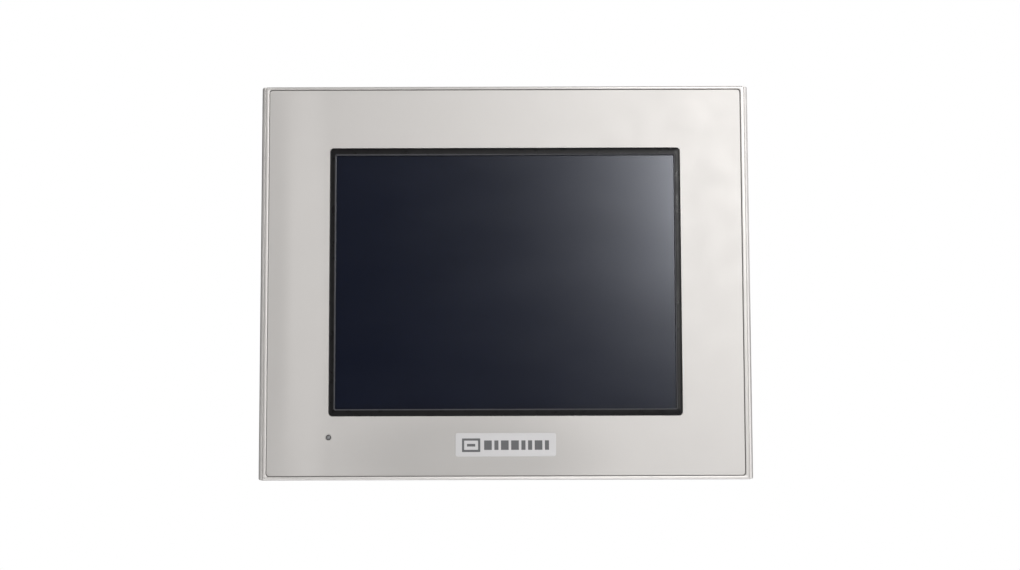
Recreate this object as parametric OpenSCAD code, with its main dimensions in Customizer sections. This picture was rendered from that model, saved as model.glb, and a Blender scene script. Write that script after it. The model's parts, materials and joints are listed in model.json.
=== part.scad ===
// Panel-mount touch operator panel, 5.7-inch class.
// Units are millimetres. +X is right, +Y runs back through the mounting panel, +Z is up.
// The origin is the centre of the panel cut-out, on the front face of the mounting panel.

/* [Front bezel] */
// Width of the bezel
bezel_w = 167.5; // [167:0.5:169]
// Height of the bezel
bezel_h = 135; // [134.5:0.5:136.5]
// How far the bezel stands in front of the mounting panel
bezel_d = 7; // [7:0.1:7.6]
// Width of the black frame around the screen
window_w = 119.9; // [119.5:0.1:121]
// Height of the black frame around the screen
window_h = 91.9; // [91:0.1:92.5]
// Width of the visible screen
screen_w = 116; // [115:0.2:117]
// Height of the visible screen
screen_h = 87.3; // [86.5:0.1:88]
// Distance of the status light left of the centre
light_x = 60; // [58:0.5:62]
// Distance of the status light below the centre
light_z = 53.2; // [52.8:0.2:54]

/* [Rear case] */
// Width of the case, just under the cut-out's width
case_w = 155.5; // [155:0.1:155.8]
// Height of the case, just under the cut-out's height
case_h = 123; // [122.6:0.1:123.2]
// Depth of the case behind the front of the mounting panel
case_d = 52.5; // [50.5:0.5:56]
// Wall thickness of the case
wall = 2.2; // [2:0.1:2.3]
// Width of one ventilation slot
vent_w = 2.4; // [1.8:0.1:2.8]
// Distance between ventilation slots
vent_pitch = 5; // [4.5:0.25:6]

/* [Installation clamps] */
// Distance of each clamp from the centre line
clamp_x = 67; // [66.5:0.25:67.5]
// Gap between the mounting panel's front and a clamp's pad at rest
clamp_gap = 6.4; // [6.1:0.1:6.6]

/* [Ports] */
// Centre of the power connector
power_x = -51; // [-52:0.5:-50]
// Centre of the network socket
ethernet_x = -31; // [-31.5:0.25:-30.5]
// Centre of the USB socket
usb_x = -12.5; // [-13:0.25:-12]
// Centre of the first serial port
com1_x = 13; // [12.5:0.25:13.5]
// Centre of the second serial port
com2_x = 47; // [46.5:0.25:47]

/* [Hidden] */
$fn = 64;
nudge = 0.05;                        // overrun of a cutting shape past the face it opens

// depths of the front stack
y_face = -bezel_d;                   // front of the lip around the front sheet
y_rail = y_face + 0.5;               // crown of the side rails, and the floor under the sheet
y_back = -0.6;                       // rear face of the bezel
y_film = y_face + 1.4;               // front of the touch film
film_t = 0.2;
glass_t = 1.1;
y_cavity = y_film + film_t + glass_t;  // rear of the bezel's front wall
y_lcd = y_cavity + 0.15;             // front of the display module
lcd_w = 140;
lcd_h = 102;
y_tray = y_lcd + 10.6;               // rear of the display module
y_chassis = 7.5;
chassis_t = 1;
y_board = 17;                        // front face of the main board
board_t = 1.6;
y_board_back = y_board + board_t;
y_port = y_board_back + 6.6;         // centre depth of the ports
y_power_board = 36;

// bezel outline
corner_r = 0.8;
lip_x = bezel_w / 2 - 1.75;          // outer side of the lip
recess_w = bezel_w - 5.1;
recess_h = bezel_h - 1.9;
rail_r = 2.1;                        // rounding of the side rails
cavity_w = 148.6;
cavity_h = 116.2;
boss_x = 71;
boss_z = 55;
boss_r = 3.2;

// rear case
y_step = 16;                         // where the case narrows behind its front section
z_floor = -50;                       // underside of the rear section
z_roof = 58;                         // top of the rear section
y_wall = case_d - wall;              // inside of the rear wall
half_w = case_w / 2;
half_h = case_h / 2;
pillar_x = 67.5;
pillar_z = [50.5, -41];

// memory card bay, on the right-hand side
bay_y = [20.6, 36.5];
bay_z = [-20.5, 46.5];
hinge_x = half_w - 1.75;
hinge_y = 39.2;
hinge_r = 1.6;
cover_z = [-22, 48];
cover_t = 1.6;
cover_x = half_w - cover_t;          // inner face of the closed cover
card_z = [-6, 37.2];                 // the card's slot
card_y = [20.4, 25.8];
button_z = [39.6, 44];
lever_pivot = [50, 33];
dip_z = -19.8;
dip_pitch = 2.54;

// installation clamps
screw_z = 2.65;                      // clamp screw axis above the case
clamp_r = 1.5;                       // thread radius
clamp_head_r = 2.5;

// serial ports
lock_x = 12.495;                     // screwlocks either side of a port's centre

// power plug
pole_pitch = 5.08;
pole_z = -56;                        // height of the terminal screws

// ---------- shapes used by many parts ----------

// box between two corners, each given as [low, high] along an axis
module span(x, y, z) {
    translate([x[0], y[0], z[0]])
        cube([x[1] - x[0], y[1] - y[0], z[1] - z[0]]);
}

module rounded_rect(w, h, r) {
    square([w - 2 * r, h], center = true);
    square([w, h - 2 * r], center = true);
    for (sx = [-1, 1], sz = [-1, 1])
        translate([sx * (w / 2 - r), sz * (h / 2 - r)]) circle(r);
}

// flat outline in X and Z, extruded in depth from y0 to y1
module in_depth(y0, y1) {
    translate([0, y1, 0]) rotate([90, 0, 0]) linear_extrude(y1 - y0) children();
}

module slab(w, h, r, y0, y1) {
    in_depth(y0, y1) rounded_rect(w, h, r);
}

module ring(w, h, r, inner_w, inner_h, inner_r, y0, y1) {
    difference() {
        slab(w, h, r, y0, y1);
        slab(inner_w, inner_h, inner_r, y0 - nudge, y1 + nudge);
    }
}

// cylinder along Y
module rod_y(r, y0, y1, x = 0, z = 0) {
    translate([x, y1, z]) rotate([90, 0, 0]) cylinder(r = r, h = y1 - y0);
}

module rod_z(r, z0, z1, x = 0, y = 0) {
    translate([x, y, z0]) cylinder(r = r, h = z1 - z0);
}

// pan-head screw along Y with its head at the back and a cross recess
module pan_screw(r, head_r, y_tip, y_head, head_h, x, z) {
    difference() {
        union() {
            rod_y(r, y_tip, y_head, x, z);
            rod_y(head_r, y_head, y_head + head_h, x, z);
        }
        for (turn = [0, 90])
            translate([x, y_head + head_h, z]) rotate([0, turn, 0])
                cube([head_r * 1.1, head_h, head_r * 0.28], center = true);
    }
}

// ---------- front ----------

module front_bezel() color([0.76, 0.75, 0.73]) difference() {
    union() {
        slab(bezel_w, bezel_h, corner_r, y_rail, y_back);
        slab(2 * lip_x, bezel_h, 0.4, y_face, y_rail + nudge);
        bezel_bosses();
        ring(cavity_w + 2, cavity_h + 2, 1.2, cavity_w, cavity_h, 1, y_back - 1, y_back + 2);
    }
    slab(recess_w, recess_h, 1.1, y_face - nudge, y_rail);
    slab(window_w + 0.3, window_h + 0.3, 1.3, y_face, y_film + nudge);
    slab(128.6, 99.6, 1, y_film, y_cavity + nudge);
    bezel_cavity();
    for (side = [-1, 1]) {
        rail_rounding(side);
        rail_groove(side);
        lip_chamfer(side);
    }
    ring(164.4, 131.9, 3, 158.6, 126.1, 2, y_back - 1.8, y_back + nudge);
    rod_y(1.1, y_face, 0, -light_x, -light_z);
    for (sx = [-1, 1], sz = [-1, 1])
        rod_y(1.25, y_chassis - 9, y_chassis + nudge, sx * boss_x, sz * boss_z);
}

module bezel_bosses() {
    for (sx = [-1, 1], sz = [-1, 1])
        rod_y(boss_r, y_cavity - 0.2, y_chassis, sx * boss_x, sz * boss_z);
}

// the hollow behind the front wall, which leaves the screw bosses standing
module bezel_cavity() difference() {
    slab(cavity_w, cavity_h, 1, y_cavity, y_back + nudge);
    bezel_bosses();
}

module rail_rounding(side) {
    edge_x = bezel_w / 2 - rail_r;
    mirror([side < 0 ? 1 : 0, 0, 0]) difference() {
        span([edge_x, bezel_w], [y_rail - 1, y_rail + rail_r], [-bezel_h, bezel_h]);
        rod_z(rail_r, -bezel_h - 1, bezel_h + 1, edge_x, y_rail + rail_r);
        span([edge_x - nudge, lip_x], [y_face - 1, y_rail], [-bezel_h, bezel_h]);
    }
}

module rail_groove(side) {
    mirror([side < 0 ? 1 : 0, 0, 0])
        span([lip_x, lip_x + 0.45], [y_rail - 1, y_rail + 0.5], [-bezel_h, bezel_h]);
}

module lip_chamfer(side) {
    translate([0, y_face, side * bezel_h / 2]) rotate([45, 0, 0])
        cube([bezel_w + 2, 0.5, 0.5], center = true);
}

module front_sheet() color([0.80, 0.79, 0.77]) difference() {
    slab(recess_w - 0.7, recess_h - 0.7, 1, y_rail - 0.3, y_rail);
    slab(window_w + 0.3, window_h + 0.3, 1.3, y_face, y_film);
    rod_y(1.1, y_face, 0, -light_x, -light_z);
}

module name_plate() color([0.85, 0.85, 0.86])
    translate([0, 0, -55.8]) slab(34, 8, 0.8, y_rail - 0.45, y_rail - 0.3);

module window_frame() color([0.13, 0.125, 0.125]) difference() {
    ring(window_w, window_h, 1.15, screen_w, screen_h, 0.6, y_rail - 0.15, y_film);
    slab(screen_w + 0.7, screen_h + 0.7, 0.9, y_rail - 1, y_rail + 0.15);
}

module status_light_pipe() color([0.45, 0.46, 0.47]) {
    rod_y(1, y_rail - 0.4, y_cavity + 0.2, -light_x, -light_z);
    rod_y(1.6, y_cavity, y_chassis - 0.6, -light_x, -light_z);
}

module touch_film() color([0.09, 0.1, 0.13])
    slab(128, 99, 1, y_film, y_film + film_t);

module touch_glass() color([0.55, 0.6, 0.6])
    slab(128, 99, 1, y_film + film_t, y_cavity);

module panel_gasket() color([0.08, 0.08, 0.085])
    ring(164, 131.5, 2.8, 159, 126.5, 2.2, y_back - 1.8, 0);

// ---------- display module ----------

module lcd_frame() color([0.7, 0.71, 0.72]) difference() {
    slab(lcd_w, lcd_h, 1, y_lcd, y_lcd + 6);
    slab(lcd_w - 1, lcd_h - 1, 0.6, y_lcd + 0.5, y_lcd + 7);
    slab(screen_w + 1.6, screen_h + 1.6, 0.8, y_lcd - 1, y_lcd + 1);
    for (sx = [-1, 1], z = [-30, 0, 30])                      // catches for the tray's tabs
        translate([sx * lcd_w / 2, y_lcd + 3.5, z]) cube([3, 2, 6], center = true);
}

module lcd_cell() color([0.05, 0.06, 0.09])
    slab(125, 96, 0.5, y_lcd + 0.55, y_lcd + 2.35);

module diffuser_sheets() color([0.93, 0.93, 0.91]) for (layer = [0, 1, 2])
    slab(121, 92, 0.5, y_lcd + 2.5 + layer * 0.18, y_lcd + 2.65 + layer * 0.18);

module light_guide() color([0.82, 0.88, 0.88])
    slab(120, 90, 0.5, y_lcd + 3.1, y_lcd + 7.1);

module backlight_lamps() color([0.95, 0.95, 0.9]) for (side = [-1, 1])
    translate([0, y_lcd + 5.1, side * 46.9]) rotate([0, 90, 0]) {
        cylinder(r = 1.2, h = 116, center = true);
        for (end = [-1, 1])
            translate([0, 0, end * 60]) cylinder(r = 1.7, h = 6, center = true);
    }

module lcd_tray() color([0.9, 0.9, 0.88]) {
    difference() {
        union() {
            slab(lcd_w - 1.2, lcd_h - 1.2, 0.5, y_lcd + 0.5, y_tray);
            tray_corners() rod_y(2.6, y_tray - 1, y_chassis);
        }
        tray_corners() rod_y(1.05, y_tray - 2.6, y_chassis + nudge);
        slab(125.6, 96.6, 0.5, y_lcd, y_lcd + 2.4);
        slab(126.4, 97.4, 0.5, y_lcd + 2, y_lcd + 7.2);
        slab(100, 70, 3, y_tray - 1.8, y_tray + 1);
    }
    for (sx = [-1, 1], z = [-30, 0, 30])                      // tabs that hold the steel frame
        span([sx > 0 ? lcd_w / 2 - 0.7 : -lcd_w / 2 + 0.05, sx > 0 ? lcd_w / 2 - 0.05 : -lcd_w / 2 + 0.7],
             [y_lcd + 2.7, y_lcd + 4.3], [z - 2.8, z + 2.8]);
    for (x = [-30, 0, 30])
        span([x - 1, x + 1], [y_tray - 2, y_tray], [-35.5, 35.5]);
}

module tray_corners() {
    for (sx = [-1, 1], sz = [-1, 1]) translate([sx * 60, 0, sz * 44]) children();
}

// touch panel tail and display cable, each running back and then up to the main board
module flex_cables() color([0.75, 0.5, 0.2]) {
    tail_t = 0.12;
    y_turn = y_board - 3.6;
    span([-8, 6], [y_cavity, y_cavity + tail_t], [-53.2, -48.8]);
    span([-8, 6], [y_cavity, y_turn], [-53.2, -53.2 + tail_t]);
    span([-8, 6], [y_turn - tail_t, y_turn], [-53.2, -46.6]);
    span([-9, 7], [y_turn - 0.4, y_board], [-46.6, -43.5]);
    span([20, 42], [y_tray, y_tray + 0.25], [-22, -12]);
    span([20, 42], [y_tray, y_board - 1.5], [-12, -11.75]);
    span([20, 42], [y_board - 1.75, y_board - 1.5], [-12, -8]);
    span([19, 43], [y_board - 2.6, y_board], [-8, -4.6]);
}

// ---------- chassis and boards ----------

module chassis_plate() color([0.72, 0.73, 0.74]) difference() {
    union() {
        slab(147, 114.6, 2, y_chassis, y_chassis + chassis_t);
        for (side = [-1, 1])                                     // stiffening flanges
            span([-48, 48], [y_chassis - 4, y_chassis + nudge],
                 side > 0 ? [56.3, 57.3] : [-57.3, -56.3]);
    }
    for (sx = [-1, 1], sz = [-1, 1])
        rod_y(1.6, y_chassis - 1, y_chassis + 2, sx * boss_x, sz * boss_z);
    tray_corners() rod_y(1.2, y_chassis - 1, y_chassis + 2);
    for (sx = [-1, 1], z = pillar_z)
        rod_y(1.3, y_chassis - 1, y_chassis + 2, sx * pillar_x, z);
    rod_y(2, y_chassis - 1, y_chassis + 2, -light_x, -light_z);
    span([-10, 8], [y_chassis - 5, y_chassis + 2], [-60, -52]);
    span([18, 44], [y_chassis - 1, y_chassis + 2], [-14, -10]);
    for (x = [-40, 0, 40])
        translate([x, 0, 28]) slab(22, 12, 3, y_chassis - 1, y_chassis + 2);
}

module internal_screws() color([0.8, 0.8, 0.78]) {
    y_head = y_chassis + chassis_t;
    for (sx = [-1, 1], sz = [-1, 1])
        pan_screw(1.2, 2.6, y_chassis - 7, y_head, 1.6, sx * boss_x, sz * boss_z);
    tray_corners() pan_screw(1, 2, y_tray - 2.4, y_head, 1.2, 0, 0);
    power_board_posts() pan_screw(1.2, 2.6, y_power_board - 4, y_power_board + board_t, 1.6, 0, 0);
}

module hex_standoff(y0, y1, x, z, stud) difference() {
    union() {
        rod_y(2.75, y0, y1, x, z, $fn = 6);
        rod_y(1.25, y0 - stud, y0 + nudge, x, z);
    }
    rod_y(1.3, y1 - 5, y1 + nudge, x, z);
}

module board_standoffs() color([0.75, 0.62, 0.32]) {
    for (sx = [-1, 1], z = pillar_z) {
        hex_standoff(y_chassis + chassis_t, y_board, sx * pillar_x, z, 0.9);
        hex_standoff(y_board_back, y_wall, sx * pillar_x, z, 4);
    }
    power_board_posts() hex_standoff(y_board_back, y_power_board, 0, 0, 1.5);
}

module power_board_posts() {
    for (x = [-52, 10], z = [-30, 44]) translate([x, 0, z]) children();
}

module main_board() color([0.05, 0.32, 0.2]) difference() {
    span([-73.5, 73.5], [y_board, y_board_back], [-47.4, 55]);
    for (sx = [-1, 1], z = pillar_z)
        rod_y(1.6, y_board - 1, y_board_back + 1, sx * pillar_x, z);
    power_board_posts() rod_y(1.6, y_board - 1, y_board_back + 1);
}

module processor_chips() color([0.07, 0.07, 0.075]) {
    span([-24, 3], [y_board_back, y_board_back + 2.2], [0, 27]);        // processor
    span([-48, -34], [y_board_back, y_board_back + 1.2], [12, 34]);     // flash memory
    span([9, 20], [y_board_back, y_board_back + 1.2], [14, 32]);        // working memory
    span([-36, -26], [y_board_back, y_board_back + 1.4], [-22, -12]);   // network driver
    span([4, 12], [y_board_back, y_board_back + 2], [-24, -12]);        // serial drivers
    span([30, 38], [y_board_back, y_board_back + 2], [-30, -18]);
}

module backup_battery() color([0.8, 0.8, 0.8]) {
    rod_y(8, y_board_back + 0.8, y_board_back + 4, -60, 30);
    span([-61.5, -58.5], [y_board_back, y_board_back + 0.8], [21, 39]);
}

module power_board() color([0.05, 0.3, 0.19]) difference() {
    span([-70, 22], [y_power_board, y_power_board + board_t], [-37, 53]);
    power_board_posts() rod_y(1.6, y_power_board - 1, y_power_board + 3);
    for (z = pillar_z)
        rod_y(4, y_power_board - 1, y_power_board + 3, -pillar_x, z);
}

module power_parts() color([0.12, 0.12, 0.13]) {
    y0 = y_power_board + board_t;
    span([-38, -20], [y0, y0 + 10.5], [4, 22]);                         // transformer
    for (x = [-46, -34, -22]) rod_y(4.5, y0, y0 + 11, x, -18);           // smoothing capacitors
    rod_y(6, y0, y0 + 6, -2, 20);                                       // inductor
    rod_y(6, y0, y0 + 6, -2, -12);                                      // buzzer
    span([-64, -56], [y0, y0 + 9], [0, 14]);                            // fuse holder
    span([-20, 2], [y_board_back, y_power_board], [-35, -31]);          // board-to-board header
}

module inverter_board() color([0.06, 0.34, 0.2]) {
    span([-62, 14], [y_chassis + 2.4, y_chassis + 3.6], [-40, -22]);
    span([-40, -22], [y_chassis + 3.6, y_chassis + 8.4], [-37, -27]);    // transformer
    span([-60, -54], [y_chassis + 3.6, y_chassis + 7], [-36, -26]);      // lamp connector
    span([0, 8], [y_chassis + 3.6, y_chassis + 7], [-36, -26]);
    span([-66, -54], [y_chassis + 2.6, y_chassis + 3.6], [-57, -49.4]);  // status light's board
    rod_y(1.4, y_chassis + 0.9, y_chassis + 2.6, -light_x, -light_z);
    for (x = [-50, 6])                                              // spacers to the chassis
        rod_y(1.8, y_chassis + chassis_t, y_chassis + 2.4, x, -24);
    span([-65.5, -64], [y_chassis + chassis_t, y_chassis + 2.6], [-56.5, -50]);
}

// ---------- ports on the underside ----------

// points round a corner, from angle a0 to a1
function arc(centre, r, a0, a1, steps = 6) =
    [for (i = [0:steps]) let (a = a0 + (a1 - a0) * i / steps) centre + r * [cos(a), sin(a)]];

// outline of a nine-way D-shaped shell, wider towards the back; grow offsets it from the inner outline
module d_outline(grow) {
    r = 2 + grow;
    tilt = 10;
    wide = 6.05;
    deep = 1.75;
    narrow = wide - 2 * deep * tan(tilt);
    polygon(concat(
        arc([wide, deep], r, -tilt, 90),
        arc([-wide, deep], r, 90, 180 + tilt),
        arc([-narrow, -deep], r, 180 + tilt, 270),
        arc([narrow, -deep], r, 270, 360 - tilt)
    ));
}

module com_places() {
    for (x = [com1_x, com2_x]) translate([x, y_port, 0]) children();
}

module com_shells() color([0.75, 0.76, 0.76]) com_places() difference() {
    union() {
        translate([-15.4, -6.2, -49.4]) cube([30.8, 12.4, 0.8]);
        translate([0, 0, -55.3]) linear_extrude(6) d_outline(0.4);
    }
    translate([0, 0, -56]) linear_extrude(9) d_outline(0);
    for (side = [-1, 1]) rod_z(1.6, -50, -48, side * lock_x, 0);
}

// positions of the nine contacts, five and then four
function contact_places() = concat(
    [for (i = [0:4]) [(i - 2) * 2.77, 1.42]],
    [for (i = [0:3]) [(i - 1.5) * 2.77, -1.42]]
);

module com_inserts() color([0.08, 0.08, 0.09]) {
    com_places() {
        translate([-9.5, -5.6, -48.6]) cube([19, 11.2, 8]);
        difference() {
            translate([-15.4, -5.6, -48.6]) cube([30.8, 11.2, 3]);
            for (side = [-1, 1]) rod_z(1.5, -49, -45, side * lock_x, 0);
        }
    }
    translate([com1_x, y_port, 0]) {
        translate([0, 0, -49.6]) linear_extrude(1.1) d_outline(-0.1);
        for (p = contact_places()) rod_z(0.5, -54.7, -49.5, p[0], p[1]);
    }
    translate([com2_x, y_port, 0]) difference() {
        translate([0, 0, -54.9]) linear_extrude(6.4) d_outline(-0.1);
        for (p = contact_places()) rod_z(0.55, -55, -50, p[0], p[1]);
    }
}

module jackscrews() color([0.8, 0.8, 0.78]) com_places() for (side = [-1, 1])
    difference() {
        union() {
            rod_z(2.75, -54.3, -49.4, side * lock_x, 0, $fn = 6);
            rod_z(1.45, -49.5, -44, side * lock_x, 0);
        }
        rod_z(1.3, -54.3 - nudge, -48.5, side * lock_x, 0);
    }

module ethernet_shell() color([0.75, 0.76, 0.76]) translate([ethernet_x, y_board_back, 0]) difference() {
    span([-8, 8], [0.1, 13.4], [-50.6, -29.6]);
    span([-7.7, 7.7], [0.4, 13.1], [-51, -29.9]);
}

module ethernet_insert() color([0.07, 0.07, 0.08]) translate([ethernet_x, y_board_back, 0]) difference() {
    span([-7.65, 7.65], [0.45, 13.05], [-50.3, -30]);
    span([-5.9, 5.9], [2.2, 9.4], [-51, -37]);                          // plug's cavity
    span([-3.1, 3.1], [9.3, 11.4], [-51, -37]);                         // latch keyway
}

module usb_shell() color([0.75, 0.76, 0.76]) translate([usb_x, y_board_back + 3.2, 0]) difference() {
    span([-6.55, 6.55], [-2.86, 2.86], [-50.9, -36.9]);
    span([-6.25, 6.25], [-2.56, 2.56], [-51.5, -37.2]);
}

module usb_tongue() color([0.85, 0.85, 0.83]) translate([usb_x, y_board_back + 3.2, 0]) {
    span([-6.2, 6.2], [-2.5, 2.5], [-39.4, -37.25]);
    span([-5.55, 5.55], [-1.7, 0.14], [-48.9, -39.3]);
}

module power_header() color([0.1, 0.38, 0.2]) translate([power_x, y_board_back, 0]) {
    difference() {
        span([-8.9, 8.9], [0.1, 13.5], [-50.4, -38.4]);
        span([-7.9, 7.9], [1.6, 12], [-51, -41]);
    }
    for (i = [-1, 0, 1])
        span([i * pole_pitch - 0.5, i * pole_pitch + 0.5], [6.3, 7.3], [-48, -40.9]);
}

// removable plug: a spigot in the header, and a terminal block under it
module power_plug() color([0.13, 0.45, 0.24]) translate([power_x, 0, 0]) difference() {
    union() {
        span([-7.75, 7.75], [19.3, 33.2], [-61.3, -50.7]);
        span([-7.7, 7.7], [20.6, 30.3], [-50.8, -43.6]);
    }
    for (i = [-1, 0, 1]) translate([i * pole_pitch, 0, 0]) {
        span([-1, 1], [24.6, 26.6], [-50, -43]);                        // pin's socket
        span([-2, 2], [20.2, 29.9], [-58.5, -53.5]);                    // cage's chamber
        span([-1.6, 1.6], [21.4, 25.4], [-62, -58]);                    // wire's entry
        rod_y(1.35, 29.5, 31, 0, pole_z);
        rod_y(2.1, 30.4, 34, 0, pole_z);
    }
}

// centre of terminal 1, 2 or 3
function pole_x(i) = power_x + (i - 2) * pole_pitch;

module terminal_screw(i) color([0.82, 0.82, 0.8]) translate([pole_x(i), 0, 0])
    difference() {
        union() {
            rod_y(1.2, 23.8, 30.45, 0, pole_z);
            rod_y(1.95, 30.45, 32.3, 0, pole_z);
        }
        translate([0, 32.3, pole_z]) rotate([0, 40 * i - 45, 0]) cube([5, 1.6, 0.7], center = true);
    }

// clamping cage that rises along its screw
module terminal_cage(i) color([0.78, 0.74, 0.6]) translate([pole_x(i), 0, 0])
    difference() {
        span([-1.85, 1.85], [20.4, 27.4], [pole_z - 2.3, pole_z + 2.3]);
        span([-1.45, 1.45], [21.2, 25.4], [pole_z - 3, pole_z + 3]);
        rod_y(1.25, 25, 28, 0, pole_z);
    }

// ---------- memory card bay ----------

module card_socket() color([0.09, 0.09, 0.1]) difference() {
    union() {
        span([28, 74.6], [y_board_back, y_board_back + 8.6], [card_z[0] - 1.6, card_z[1] + 1.6]);
        span([57, 73], [y_board_back, 26.4], [card_z[1], button_z[1] + 1.4]);   // button's guide
        rod_y(1.2, 27, 28.6, lever_pivot[0], lever_pivot[1]);
    }
    span([34, 75], card_y, card_z);
    span([34, 48.5], [card_y[1] - 1, 28], [4.5, 14.5]);                  // pusher's slot
    span([56, 74], [20.8, 25.2], [button_z[0] - 0.2, button_z[1] + 0.2]);
}

module card_eject_button() color([0.12, 0.12, 0.13]) {
    span([54.5, 75.8], [21, 25], button_z);
    span([52.1, 55.5], [21, 28.4], [button_z[0] + 1.4, button_z[1] - 1]);
}

module card_eject_lever() color([0.76, 0.77, 0.77]) translate([lever_pivot[0], 0, lever_pivot[1]])
    difference() {
        union() {
            rod_y(3, 27.35, 28.1);
            span([-1.5, 1.5], [27.35, 28.1], [0, 9.5]);
            rotate([0, 34.6, 0]) span([-1.5, 1.5], [27.35, 28.1], [-25.5, 0]);
            span([-15.4, -13.4], [24, 28.1], [-22, -20]);
        }
        rod_y(1.25, 27, 29);
    }

module card_cover() color([0.2, 0.205, 0.21]) {
    difference() {
        span([cover_x, half_w], [bay_y[0] - 0.7, hinge_y - 1], cover_z);
        for (y = [22, 23.6, 25.2])                               // finger grip
            span([half_w - 0.4, half_w + 1], [y, y + 0.8], [5, 21]);
    }
    span([cover_x, half_w - 0.2], [hinge_y - 1.2, hinge_y], cover_z);
    rod_z(hinge_r, cover_z[0], cover_z[1], hinge_x, hinge_y);
    rod_z(0.9, cover_z[0] - 1.8, cover_z[1] + 1.8, hinge_x, hinge_y);
    span([cover_x - 1.1, cover_x + nudge], [bay_y[0] + 0.4, bay_y[0] + 1.4], [8, 18]);   // latch
}

module dip_housing() color([0.5, 0.12, 0.11]) difference() {
    span([66, 74.6], [y_board_back + 0.2, 25.6], [dip_z, dip_z + 11.2]);
    for (i = [1:4])
        span([70.8, 75], [20.4, 24.6], [dip_slot(i) - 0.75, dip_slot(i) + 0.75]);
}

// height of switch 1, 2, 3 or 4
function dip_slot(i) = dip_z + 1.79 + (i - 1) * dip_pitch;

module dip_slider(i) color([0.9, 0.9, 0.88])
    span([71.2, 75.4], [20.5, 22.5], [dip_slot(i) - 0.65, dip_slot(i) + 0.65]);

// ---------- rear case ----------

module rear_case() color([0.2, 0.205, 0.21]) difference() {
    union() {
        slab(case_w, case_h, 2.5, y_back, y_step);
        translate([0, 0, (z_floor + z_roof) / 2])
            slab(case_w, z_roof - z_floor, 3, y_step - 1, case_d);
        step_ribs();
    }
    case_hollow();
    rear_chamfers();
    vents();
    port_openings();
    card_bay();
    rear_panel_cuts();
    for (sx = [-1, 1], sz = [-1, 1])                             // slots for the clamps' hooks
        translate([sx * clamp_x, 8.2, sz * (half_h - 1)]) cube([7.6, 5.6, 4], center = true);
}

module case_hollow() {
    slab(case_w - 2 * wall, case_h - 2 * wall, 1.2, y_back - nudge, y_step - wall);
    difference() {
        span([-half_w + wall, half_w - wall], [y_step - wall - 1, y_wall],
             [z_floor + wall, z_roof - wall]);
        hinge_lugs();
    }
}

// blocks inside the wall that carry the cover's hinge pins
module hinge_lugs() {
    for (z = [cover_z[0] - 3.2, cover_z[1] + 0.2])
        span([half_w - 4.2, half_w], [hinge_y - 2.8, hinge_y + 3.4], [z, z + 3]);
}

// gussets between the front section and the narrower rear section, under the case
module step_ribs() {
    for (x = [-74.5, -41, 28.6, 74.5])
        translate([x - 0.8, 0, 0]) rotate([90, 0, 90]) linear_extrude(1.6)
            polygon([[y_step - 1, z_floor + 1], [y_step - 1, -half_h + 2.5],
                     [y_step + 2.4, z_floor - 1.6], [y_step + 2.4, z_floor + 1]]);
}

module rear_chamfers() {
    cut = 3;
    for (side = [-1, 1]) {
        translate([side * half_w, case_d, 0]) rotate([0, 0, 45])
            cube([cut * sqrt(2), cut * sqrt(2), 2 * case_h], center = true);
        translate([0, case_d, side > 0 ? z_roof : z_floor]) rotate([45, 0, 0])
            cube([2 * case_w, cut * sqrt(2), cut * sqrt(2)], center = true);
    }
}

module vent_row(count, size_x, size_y, size_z) {
    for (i = [0:count - 1])
        translate([(i - (count - 1) / 2) * vent_pitch, 0, 0])
            cube([size_x, size_y, size_z], center = true);
}

module vents() {
    translate([0, 34, z_roof]) vent_row(25, vent_w, 24, 6);
    translate([0, 42.5, z_floor]) vent_row(23, vent_w, 9, 6);
    for (side = [-1, 1], i = [0:6])
        translate([side * 53, case_d, 8 + i * vent_pitch])
            cube([24, 8, vent_w], center = true);
}

module port_openings() {
    z = [z_floor - 1, z_floor + wall + 1];
    for (x = [com1_x, com2_x])
        span([x - 15.8, x + 15.8], [y_port - 6.6, y_port + 6.6], z);
    span([ethernet_x - 8.3, ethernet_x + 8.3], [y_board_back - 0.1, y_board_back + 13.8], z);
    span([usb_x - 6.9, usb_x + 6.9], [y_board_back, y_board_back + 6.5], z);
    span([power_x - 9.2, power_x + 9.2], [y_board_back - 0.1, y_board_back + 15], z);
}

module card_bay() {
    z = [cover_z[0] - 0.2, cover_z[1] + 0.2];
    span([half_w - wall - 1, half_w + 1], bay_y, bay_z);
    span([cover_x - 0.05, half_w + 1], [bay_y[0] - 0.9, hinge_y + 3], z);
    span([hinge_x - hinge_r - 0.4, half_w + 1], [hinge_y - hinge_r - 0.3, hinge_y + hinge_r + 0.3], z);
    for (z = [cover_z[0] - 2.4, cover_z[1]])
        rod_z(0.95, z, z + 2.4, hinge_x, hinge_y);
}

// label recess, expansion port lid line and screw holes on the rear face
module rear_panel_cuts() {
    translate([0, 0, 26]) slab(70, 36, 1.5, case_d - 0.4, case_d + 1);
    translate([0, 0, -26]) ring(66, 20, 2, 64.6, 18.6, 1.4, case_d - 0.6, case_d + 1);
    for (sx = [-1, 1], z = pillar_z) {
        rod_y(1.7, y_wall - 1, case_d + 1, sx * pillar_x, z);
        rod_y(3.4, case_d - 1, case_d + 1, sx * pillar_x, z);
    }
}

module case_screws() color([0.75, 0.75, 0.74]) for (sx = [-1, 1], z = pillar_z)
    pan_screw(1.25, 2.9, y_wall - 4.5, case_d - 1, 1.7, sx * pillar_x, z);

module rating_label() color([0.86, 0.86, 0.85])
    translate([0, 0, 26]) slab(68, 34, 1, case_d - 0.4, case_d - 0.2);

// ---------- installation clamps ----------

// places one clamp: 1 top left, 2 top right, 3 bottom left, 4 bottom right
module clamp_place(i) {
    translate([i % 2 == 1 ? -clamp_x : clamp_x, 0, 0])
        mirror([0, 0, i > 2 ? 1 : 0]) translate([0, 0, half_h]) children();
}

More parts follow.
